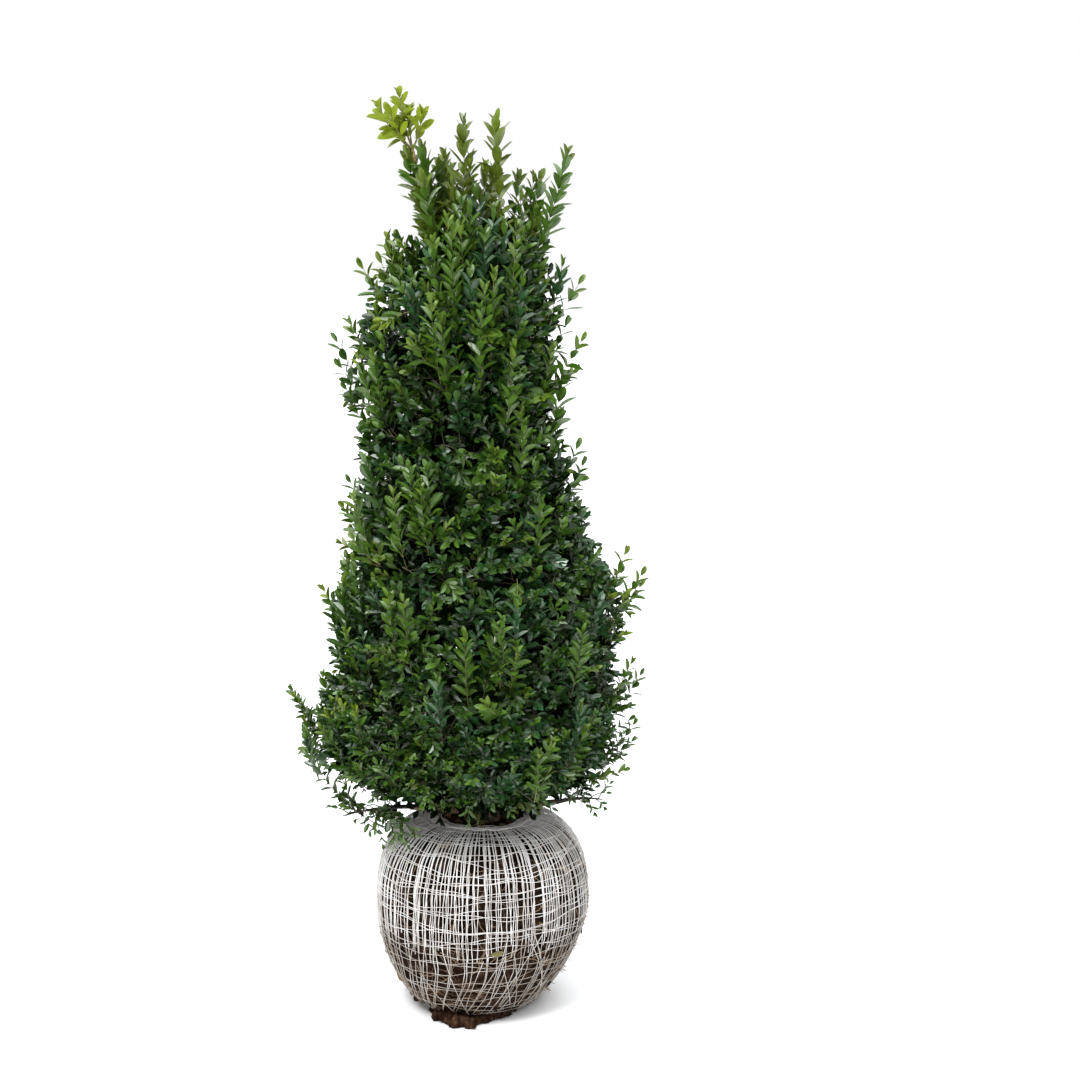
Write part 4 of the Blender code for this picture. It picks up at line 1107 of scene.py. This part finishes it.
def face_shoots(space, chance):
    """Root and tip of each shoot on a mass's face, in rows that are half a step apart."""
    width = space.end - space.start
    shoots = []
    rows = len(space.rises)
    for row, rise in enumerate(space.rises):
        for column in range(space.columns):
            shift = ROW_SHIFT * (-1) ** row + chance.uniform(-SHOOT_SPREAD, SHOOT_SPREAD)
            share = (column + 0.5 + shift) / space.columns
            azimuth = space.start + width * min(max(share, SIDE_SHARE), 1.0 - SIDE_SHARE)
            low, high = meeting_heights(space, azimuth, TWIG_TIP_DEPTH)
            tip_height = low + (row + chance.uniform(*ROW_SPREAD)) * (high - low) / rows
            depth = TWIG_TIP_DEPTH + chance.uniform(-FACE_ROUGHNESS, FACE_ROUGHNESS)
            tip = radial(azimuth, crown_reach(azimuth, tip_height) - depth, tip_height)
            shoots.append((tip - radial(azimuth, TWIG_RUN, TWIG_RUN * rise), tip))
    return shoots


def fine_shoots(space, chance):
    """Root, tip and kind of the fine shoots that fill a mass's face between those of the source."""
    width = space.end - space.start
    low, high = meeting_heights(space, (space.start + space.end) / 2.0, 0.0)
    girth = interpolate(CROWN_OUTLINE, (low + high) / 2.0) * math.radians(width)
    spacing = FINE_SPACING * min(interpolate(LEAF_SIZES, (low + high) / 2.0), MOST_SPACING)
    columns, rows = max(2, round(girth / spacing)), max(2, round((high - low) / spacing) + 1)
    shoots = []
    for row in range(rows):
        for column in range(columns):
            azimuth = space.start + width * (column + chance.uniform(0.0, 1.0)) / columns
            low, high = meeting_heights(space, azimuth, FINE_DEPTH[1])
            if space.tier != "skirt":
                low -= TIER_OVERLAP
            height = low + (row + chance.uniform(0.0, 1.0)) * (high - low) / rows
            out = crown_reach(azimuth, height) - chance.uniform(*FINE_DEPTH)
            out += interpolate(FINE_TRIM, height)
            hollow = noise.noise(Vector(radial(azimuth, out, height)) * HOLLOW_FREQUENCY)
            out -= HOLLOW_DEPTH * max(0.0, hollow)
            kind, length = "face", chance.uniform(*FINE_LENGTH)
            rise = interpolate(FINE_RISE, height) + chance.gauss(0.0, RISE_SPREAD)
            left = math.cos(math.radians(azimuth)) < LEFT_COSINE
            share = VIGOROUS_SHARE_LEFT if left else VIGOROUS_SHARE
            if chance.random() < share and height > VIGOROUS_LOWEST:
                kind, length = "vigorous", chance.uniform(*VIGOROUS_LENGTH)
                rise = chance.uniform(*VIGOROUS_RISE)
                out = crown_reach(azimuth, height + length / 2.0) + chance.uniform(*VIGOROUS_OUT)
            way = shoot_way(azimuth + chance.gauss(0.0, TURN_SPREAD), rise)
            tip = radial(azimuth, out, height + FINE_LIFT * length * way[2])
            shoots.append((tip - way * length, tip, kind))
    return shoots


def inner_shoots(space, chance):
    """Root and tip of the short inner twigs, which bear old leaves, painted near black as shade."""
    shoots = []
    for _ in range(INNER_TWIGS):
        azimuth = chance.uniform(space.start, space.end)
        height = chance.uniform(*meeting_heights(space, azimuth, INNER_DEPTH[1]))
        out = max(crown_reach(azimuth, height) - chance.uniform(*INNER_DEPTH), space.inner * 0.4)
        tip = radial(azimuth, out, height)
        way = unit(radial(azimuth, 0.6, 0.5) + jitter(chance, 0.5))
        shoots.append((tip - way * chance.uniform(*INNER_LENGTH), tip))
    return shoots


def shoot_way(azimuth, rise):
    """The direction of a shoot at an azimuth and an elevation in degrees."""
    rise = math.radians(rise)
    return radial(azimuth, math.cos(rise), math.sin(rise))


def placed_shoots(space):
    """Root, tip and kind of a mass's shoots that have places of their own."""
    shoots = []
    for azimuth, out, height in SIDE_SHOOTS:
        tip = radial(azimuth, out, height)
        shoots.append((tip - radial(azimuth, SIDE_RUN, SIDE_RUN * SIDE_RISE), tip, "side", FURTHER["side"]))
    for tip, root in LEADERS:
        shoots.append((np.array(root), np.array(tip), "leader", FURTHER["leader"]))
    for azimuth, height, length in FRONT_SHOOTS:
        tip = radial(azimuth, crown_reach(azimuth, height) + FRONT_SHOOT_OUT, height)
        shoots.append((tip - shoot_way(azimuth, FRONT_SHOOT_RISE) * length, tip, "front", 0.0))
    for azimuth, out, height, length, rise in EDGE_SHOOTS:
        tip = radial(azimuth, out, height)
        shoots.append((tip - shoot_way(azimuth, rise) * length, tip, "side", 0.0))
    for root, tip, kind, further in shoots:
        if in_sector(space, tip):
            yield root, tip + unit(tip - root) * further, kind


def mass_shoots(space, seed, chance):
    """Root, tip, kind and size of all shoots of a mass, one after the other as they are grown."""
    for root, tip in face_shoots(space, random.Random(seed)):
        yield root, tip + unit(tip - root) * FURTHER["source"], "source", 1.0
    for root, tip, kind in placed_shoots(space):
        yield root, tip, kind, 1.0
    for root, tip, kind in fine_shoots(space, chance):
        yield lifted(space, root), tip, kind, chance.uniform(*FINE_SIZES)
    for root, tip in inner_shoots(space, chance):
        yield lifted(space, root), tip, "inner", 1.0


# ---------------------------------------------------------------- growth


class Growth:
    """The leaves, by their outline, and the twigs of one piece of the crown while they are grown."""

    def __init__(self):
        self.leaves = {outline: [] for outline in LEAF_OUTLINES}
        self.limbs = []
        self.stems = []

    def add_stem(self, path, first, last, material):
        """A twig that tapers from the first radius to the last."""
        self.stems.append((path, np.linspace(first, last, len(path)), material))


def leafy_shoot(growth, path, kind, size, colours, chance, generator):
    """Opposite pairs of leaves down a twig from its tip, each pair a quarter turn from the last. The
    two youngest pairs take the second colour."""
    own_size, slimness, spacing, _, bare, outline = SHOOT_KINDS[kind]
    leaves = growth.leaves[outline]
    size = size * own_size * LEAF_LENGTH
    spacing = spacing * size
    steps = np.linalg.norm(np.diff(path, axis=0), axis=1)
    along = np.concatenate([[0.0], np.cumsum(steps)])
    count = max(1, int(along[-1] * (1.0 - bare) / spacing))
    order = np.arange(count)
    down = spacing * (0.25 + order - 0.35 * np.exp(-order / 1.5))
    places_along = along[-1] - down + generator.normal(0.0, 0.06 * spacing, count)
    places = sampled(places_along, along, path)
    ways = unit(sampled(places_along, along, unit(np.gradient(path, axis=0))))
    flat = unit(np.cross(ways, (0.0, 0.0, 1.0)) + 1e-6)
    over = np.cross(flat, ways)
    turns = chance.uniform(0.0, 0.6) + order * np.pi / 2.0 + generator.normal(0.0, 0.25, count)
    level = np.clip(1.0 - np.abs(ways[:, 2]) * 1.3, 0.0, 0.75)
    flattened = turns * (1.0 - level) + np.round(turns / np.pi) * np.pi * level
    turns = np.where(np.cos(turns) ** 2 > 0.5, turns, flattened)
    sides = flat * np.cos(turns)[:, None] + over * np.sin(turns)[:, None]
    light = LIGHT_OUTWARD * unit(places * (1.0, 1.0, 0.0)) + np.array((0.0, 0.0, LIGHT_UP))
    if kind == "pale":
        light = np.array(PALE_LIGHT)
    lean = np.interp(order, *LEAF_LEANS) * (UPRIGHT_LEAN if kind in UPRIGHT_KINDS else 1.0)
    growing = np.interp(order, *LEAF_GROWTH)
    shades = np.where(order < 2, COLOUR_NAMES.index(colours[1]), COLOUR_NAMES.index(colours[0]))
    for hand in (1.0, -1.0):
        leaned = lean * generator.uniform(0.80, 1.20, count)
        blades = ways * np.cos(leaned)[:, None] + hand * sides * np.sin(leaned)[:, None]
        uppers = ways * np.sin(leaned)[:, None] - hand * sides * np.cos(leaned)[:, None]
        uppers = uppers + light + generator.normal(0.0, 0.20, (count, 3))
        lengths = size * growing * generator.uniform(0.82, 1.16, count)
        widths = lengths * (LEAF_WIDTH / LEAF_LENGTH) * slimness * generator.uniform(0.88, 1.14, count)
        widths = widths * (1.0 if kind == "pale" else np.interp(path[-1, 2], *LEAF_SLIMMING))
        leaves.append((places, unit(blades), uppers, lengths, widths, shades))
    bud = unit(ways[:1] + generator.normal(0.0, 0.1, (1, 3)))
    length = np.array([size * BUD_LENGTH])
    leaves.append((path[-1:], bud, flat[:1], length, length * BUD_WIDTH, shades[:1]))


def shoot_path(root, tip, count=STEM_POINTS):
    """A shoot that leaves its root outwards and bends up to its tip."""
    way = tip - root
    middle = root + way * np.array((0.62, 0.62, 0.34 if way[2] > 0.0 else 0.20))
    return bent_path(root, tip, middle, count)


def shoot_colours(tip, kind, chance):
    """Colours of the older leaves and of the youngest pairs of a shoot, by its kind and place."""
    x, height = tip[0], tip[2]
    # Inner twigs take the near-black colour: painted shade for the crown's dark inside
    if kind == "inner":
        return ("deep_shade", "deep_shade")
    top = max(0.0, (height - 0.80) / 0.14)
    young = YOUNG_SHARE + YOUNG_SHARE_TOP * top + (YOUNG_SHARE_LEFT if x < YOUNG_LEFT else 0.0)
    more_bluish = BLUISH_HEIGHTS[0] < height < BLUISH_HEIGHTS[1] and x > BLUISH_LEFT
    if kind == "vigorous" and x <= VIGOROUS_LEFT:
        group = "side"
    elif kind == "small leader":
        group = "leader"
    elif kind in COLOUR_PAIRS:
        group = kind
    elif chance.random() < interpolate(OLIVE_SHARES, height):
        group = "lowest"
    elif chance.random() < young:
        group = "young"
    elif chance.random() < BLUISH_SHARES[0 if more_bluish else 1]:
        group = "bluish"
    else:
        group = "old"
    return chance.choice(COLOUR_PAIRS[group])


def held_in(end, tip, deeper):
    """The end of a side twig, moved in to the face, or deeper. The twigs of a shoot whose own tip stands
    out of the face may stand out of it too."""
    out, azimuth = round_axis(end)
    beyond = round_axis(tip)[0] - crown_reach(azimuth, tip[2])
    most = crown_reach(azimuth, end[2]) + max(0.0, beyond) * SIDE_TWIG_BEYOND + SIDE_TWIG_OUT - deeper
    share = min(1.0, most / max(out, 1e-6))
    return end * np.array((share, share, 1.0))


def grow_shoot(growth, root, tip, kind, chance, generator, size=1.0):
    """A leafy shoot with a few leafy side twigs."""
    path = shoot_path(root, tip)
    colours = shoot_colours(tip, kind, chance)
    bark = GREEN_STEM if colours[1] in ("fresh", "yellow_green") else YOUNG_BARK
    size = size * interpolate(LEAF_SIZES, tip[2])
    growth.add_stem(path, STEM_RADIUS, STEM_TIP_RADIUS, bark)
    length = np.linalg.norm(tip - root)
    leafy_shoot(growth, path, kind, size, colours, chance, generator)
    counts = SHOOT_KINDS[kind][3]
    for _ in range(chance.choice(counts) if len(counts) > 1 else counts[0]):
        share = chance.uniform(0.25, 0.72)
        start = path[int(share * (len(path) - 1))]
        way = unit(unit(tip - root) * 0.9 + jitter(chance, 0.62))
        deeper = INNER_DEPTH[0] if kind == "inner" else 0.0
        end = held_in(start + way * length * chance.uniform(0.30, 0.50), tip, deeper)
        side_path = shoot_path(start, end, SIDE_TWIG_POINTS)
        growth.add_stem(side_path, STEM_RADIUS * 0.75, STEM_TIP_RADIUS, bark)
        leafy_shoot(growth, side_path, kind, size * 0.9, colours, chance, generator)


def join_roots(growth, stem, radius, roots):
    """Limbs that carry every shoot's root, each from the nearest place already on the bough's tree."""
    tree = list(stem)
    sizes = [radius] * len(tree)
    foot = stem[0]
    for root in sorted(roots, key=lambda place: float(np.linalg.norm(place - foot))):
        places = np.array(tree)
        nearer = np.linalg.norm(places - foot, axis=1) < np.linalg.norm(root - foot) + 0.002
        distances = np.linalg.norm(places - root, axis=1) + np.where(nearer, 0.0, 0.03)
        chosen = int(np.argmin(distances))
        start, size = places[chosen], max(LEAST_BRANCH, sizes[chosen] * 0.86)
        middle = (start + root) / 2.0 + unit(root - foot) * 0.12 * distances[chosen]
        path = bent_path(start, root, middle, BRANCH_POINTS)
        radii = np.linspace(size, max(STEM_RADIUS * 0.8, size * 0.8), BRANCH_POINTS)
        growth.limbs.append((path, radii, OLD_BARK_PAINTED_SHADE))
        tree.extend(path[1:])
        sizes.extend([size * 0.9] * (BRANCH_POINTS - 1))


def grow_mass(space, seed, growth, boughs):
    """One mass: all its shoots, joined to its bough."""
    chance = random.Random(1000 + seed)
    generator = np.random.default_rng(seed)
    start, end, radius = boughs[f"{space.tier}_bough_{space.number}"]
    stem = end + unit(end - start) * np.linspace(GAP, STEM_LENGTH, 6)[:, None]
    growth.limbs.append((stem, np.linspace(radius, radius * 0.6, 6), OLD_BARK_PAINTED_SHADE))
    roots = []
    for root, tip, kind, size in mass_shoots(space, seed, chance):
        grow_shoot(growth, root, tip, kind, chance, generator, size)
        roots.append(root)
    join_roots(growth, stem, radius, roots)


def grow_small_leaders(growth):
    """Small upright shoots between the tall leaders at the top."""
    chance = random.Random(71)
    generator = np.random.default_rng(71)
    for _ in range(SMALL_LEADERS):
        azimuth, out = chance.uniform(0.0, 360.0), SMALL_LEADER_REACH * math.sqrt(chance.random())
        height = chance.uniform(*SMALL_LEADER_TIPS) - SMALL_LEADER_FALL * max(0.0, out - 0.030)
        tip = radial(azimuth, out, height) + np.array(SMALL_LEADER_SHIFT)
        turn = azimuth + chance.gauss(0.0, 20.0)
        root = radial(turn, out * 0.7, height - chance.uniform(*SMALL_LEADER_LENGTH))
        grow_shoot(growth, root, tip, "small leader", chance, generator, chance.uniform(0.85, 1.1))


def grow_low_spray(row, seed, growth, boughs):
    """A thin spreading spray over the ball, with small leaves that hang."""
    name, azimuth, reach, fall = row
    chance = random.Random(300 + seed)
    generator = np.random.default_rng(300 + seed)

    def grow_twig(start, end, bow, count, colours):
        twig = bent_path(start, end, (start + end) / 2.0 + np.array((0.0, 0.0, bow)), count)
        growth.add_stem(twig, *LOW_TWIG_RADII, YOUNG_BARK)
        leafy_shoot(growth, twig, "low", LOW_LEAF_SIZE, colours, chance, generator)

    start, end, radius = boughs[name.replace("spray", "bough")]
    tip = radial(azimuth, reach + LOW_TIP_REACH, end[2] - fall)
    middle = (end + tip) / 2.0 + np.array((0.0, 0.0, 0.006))
    path = bent_path(end + unit(end - start) * GAP, tip, middle, 12)
    growth.limbs.append((path, np.linspace(radius, 0.0008, 12), OLD_BARK_PAINTED_SHADE))
    for place in path[1:-1]:
        turn = azimuth + chance.choice((-1.0, 1.0)) * chance.uniform(25.0, 60.0)
        side = place + radial(turn, chance.uniform(0.012, 0.028), chance.uniform(-0.012, 0.018))
        grow_twig(place, side, 0.004, 7, ("mid", chance.choice(("mid", "leafy", "blue"))))
    for hang in HANGING_TIPS.get(name, []):
        grow_twig(path[chance.randint(4, 8)], np.array(hang), 0.020, 10, ("mid", "leafy"))


def grow_pale_head(growth, companions):
    """The pale leader's head of young lime leaves, and the green shoots that stand beside its limb."""
    chance = random.Random(501)
    generator = np.random.default_rng(501)
    foot = np.array(PALE_ROUTE[-1])
    for tip, length in PALE_COMPANIONS:
        root = np.array(tip) - np.array(COMPANION_WAY) * length
        grow_shoot(companions, root, np.array(tip), "leader", chance, generator, COMPANION_SIZE)
    for tip in np.array(PALE_TIPS):
        path = shoot_path(foot, tip + unit(tip - foot) * FURTHER["pale"], 8)
        growth.add_stem(path, 0.0016, 0.0006, GREEN_STEM)
        leafy_shoot(growth, path, "pale", 1.0, ("lime", "lime"), chance, generator)


# ---------------------------------------------------------------- leaves and the crown's pieces


def flat_template(outline):
    """Points and triangles of a blade of unit length and width in one flat piece."""
    points = [(along, hand * half) for along, half in outline for hand in (-1.0, 1.0)]
    faces = []
    for first in range(0, len(points) - 2, 2):
        faces.append((first, first + 2, first + 1))
        if first < len(points) - 4:
            faces.append((first + 1, first + 2, first + 3))
    return np.array(points), np.array(faces)


def folded_template(outline):
    """Points and triangles of a blade of unit length and width, its halves apart along the midrib."""
    points, faces = [], []
    last = len(outline) - 1
    for hand in (1.0, -1.0):
        start = len(points)
        for along, half in outline:
            points += [(along, 0.0), (along, hand * half)]
        for step in range(last):
            rib, edge, next_rib, next_edge = range(start + 2 * step, start + 2 * step + 4)
            some = [(rib, next_rib, edge)]
            if step < last - 1:
                some.append((edge, next_rib, next_edge))
            faces += [face if hand > 0.0 else face[::-1] for face in some]
    return np.array(points), np.array(faces)


def leaf_arrays(leaves, name, generator):
    """Points, triangles and colours of leaves, cupped along the midrib and curled down to the tip."""
    columns = [np.concatenate(column) for column in zip(*leaves)]
    places, blades, uppers, lengths, widths, colours = columns
    acrosses = unit(np.cross(uppers, blades))
    uppers = np.cross(blades, acrosses)
    blade_template = flat_template if name == "inner" else folded_template
    template, triangles = blade_template(LEAF_OUTLINES[name])
    along, across = template[:, 0], template[:, 1] / 2.0
    folds = generator.uniform(0.3, 1.7, (len(places), 1)) * LEAF_FOLD * 2.0
    curls = generator.uniform(-0.2, 2.0, (len(places), 1)) * LEAF_CURL
    height = np.abs(across)[None] * widths[:, None] * folds - (along**2)[None] * lengths[:, None] * curls
    points = (
        places[:, None]
        + blades[:, None] * (along[None] * lengths[:, None])[..., None]
        + acrosses[:, None] * (across[None] * widths[:, None])[..., None]
        + uppers[:, None] * height[..., None]
    )
    starts = np.arange(len(places))[:, None, None] * len(template)
    faces = (triangles[None] + starts).reshape(-1, 3)
    return points.reshape(-1, 3), faces, np.repeat(colours, len(triangles))


def build_growth(name, growth, materials, slot, nodes, seed):
    """The pieces of a growth: its leaves, which replace the nodes, and its twigs."""
    leaf_materials, stem_materials = materials
    generator = np.random.default_rng(seed)
    leaves = [leaf_arrays(some, outline, generator) for outline, some in growth.leaves.items() if some]
    piece(name + "_leaves", join_arrays(leaves), leaf_materials, slot, *nodes)
    if growth.limbs:
        piece(name + "_branches", tube_set(growth.limbs), stem_materials, "bark")
    piece(name + "_twigs", tube_set(growth.stems), stem_materials, "bark")


def build_crown(boughs):
    """All foliage, tier by tier, then the low sprays and the pale leader's head."""
    stem_materials = [
        # Old bark painted near black: painted shade on the limbs inside the crown
        bark_material("bark_old_painted_shade", (0.008, 0.006, 0.004), (0.032, 0.023, 0.014)),
        bark_material("bark_young", (0.034, 0.032, 0.013), (0.085, 0.072, 0.030)),
        bark_material("stem_green", (0.140, 0.130, 0.040), (0.240, 0.210, 0.070), 0.6),
    ]
    leaf_materials = [leaf_material("leaf_" + name, *look) for name, look in LEAF_COLOURS.items()]
    materials = (leaf_materials, stem_materials)
    spaces = crown_spaces()
    for tier in [row[0] for row in TIERS]:
        masses = [(seed, space) for seed, space in enumerate(spaces) if space.tier == tier]
        for first in range(0, len(masses), MASSES_IN_PIECE):
            growth = Growth()
            nodes = []
            for seed, space in masses[first : first + MASSES_IN_PIECE]:
                grow_mass(space, seed, growth, boughs)
                nodes.append(f"{tier}_foliage_{space.number}")
            if tier == TIERS[-1][0]:
                grow_small_leaders(growth)
            name = f"{tier}_{first // MASSES_IN_PIECE + 1}"
            build_growth(name, growth, materials, "foliage", nodes, len(nodes))
    sprays, companions, head = Growth(), Growth(), Growth()
    for seed, row in enumerate(LOW_SPRAYS):
        grow_low_spray(row, seed, sprays, boughs)
    grow_pale_head(head, companions)
    build_growth("low_spray", sprays, materials, "foliage", [row[0] for row in LOW_SPRAYS], 9)
    build_growth("side_leaders", companions, materials, "foliage", [], 11)
    build_growth("pale_leader", head, materials, "pale_foliage", ["pale_leader_foliage"], 10)


# ---------------------------------------------------------------- stage


def add_area(name, place, target, size, energy):
    """A square soft light that faces its target."""
    light = bpy.data.lights.new(name, "AREA")
    light.size = size
    light.energy = energy
    made = bpy.data.objects.new(name, light)
    made.location = place
    made.rotation_euler = (Vector(target) - Vector(place)).to_track_quat("-Z", "Y").to_euler()
    bpy.context.scene.collection.objects.link(made)


def build_stage():
    """The floor, the soft lights and the pale surroundings."""
    signs = ((-1, -1), (1, -1), (1, 1), (-1, 1))
    corners = np.array([(FLOOR_HALF * x, FLOOR_HALF * y, FLOOR_HEIGHT) for x, y in signs])
    floor = mesh_object("floor", [floor_material()], corners, np.array([[0, 1, 2, 3]]))
    floor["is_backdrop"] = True
    for row in LIGHTS:
        add_area(*row)
    world = bpy.data.worlds.new("surroundings")
    world.use_nodes = True
    nodes, links = world.node_tree.nodes, world.node_tree.links
    place = nodes.new("ShaderNodeTexCoord")
    parts = nodes.new("ShaderNodeSeparateXYZ")
    links.new(place.outputs["Generated"], parts.inputs["Vector"])
    background = nodes["Background"]
    add_ramp(nodes, links, parts.outputs["Z"], DOME_TONES, background.inputs["Color"])
    background.inputs["Strength"].default_value = DOME_STRENGTH
    bpy.context.scene.world = world
    bpy.context.scene.view_settings.view_transform = "Standard"


def build_camera():
    """The camera at the photograph's place."""
    lens = bpy.data.cameras.new("camera")
    lens.sensor_width = 36.0
    lens.lens = CAMERA_LENS
    camera = bpy.data.objects.new("camera", lens)
    camera.location = CAMERA_PLACE
    camera.rotation_euler = (math.pi / 2.0 - CAMERA_PITCH, 0.0, 0.0)
    bpy.context.scene.collection.objects.link(camera)
    bpy.context.scene.camera = camera


def main():
    """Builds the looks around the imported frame."""
    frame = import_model()
    cad_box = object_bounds()
    build_camera()
    build_stage()
    build_soil()
    build_clods()
    build_roots()
    build_litter()
    build_net()
    build_crown(build_limbs(frame))
    boxes = [[list(map(float, corner)) for corner in box] for box in (cad_box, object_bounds())]


main()
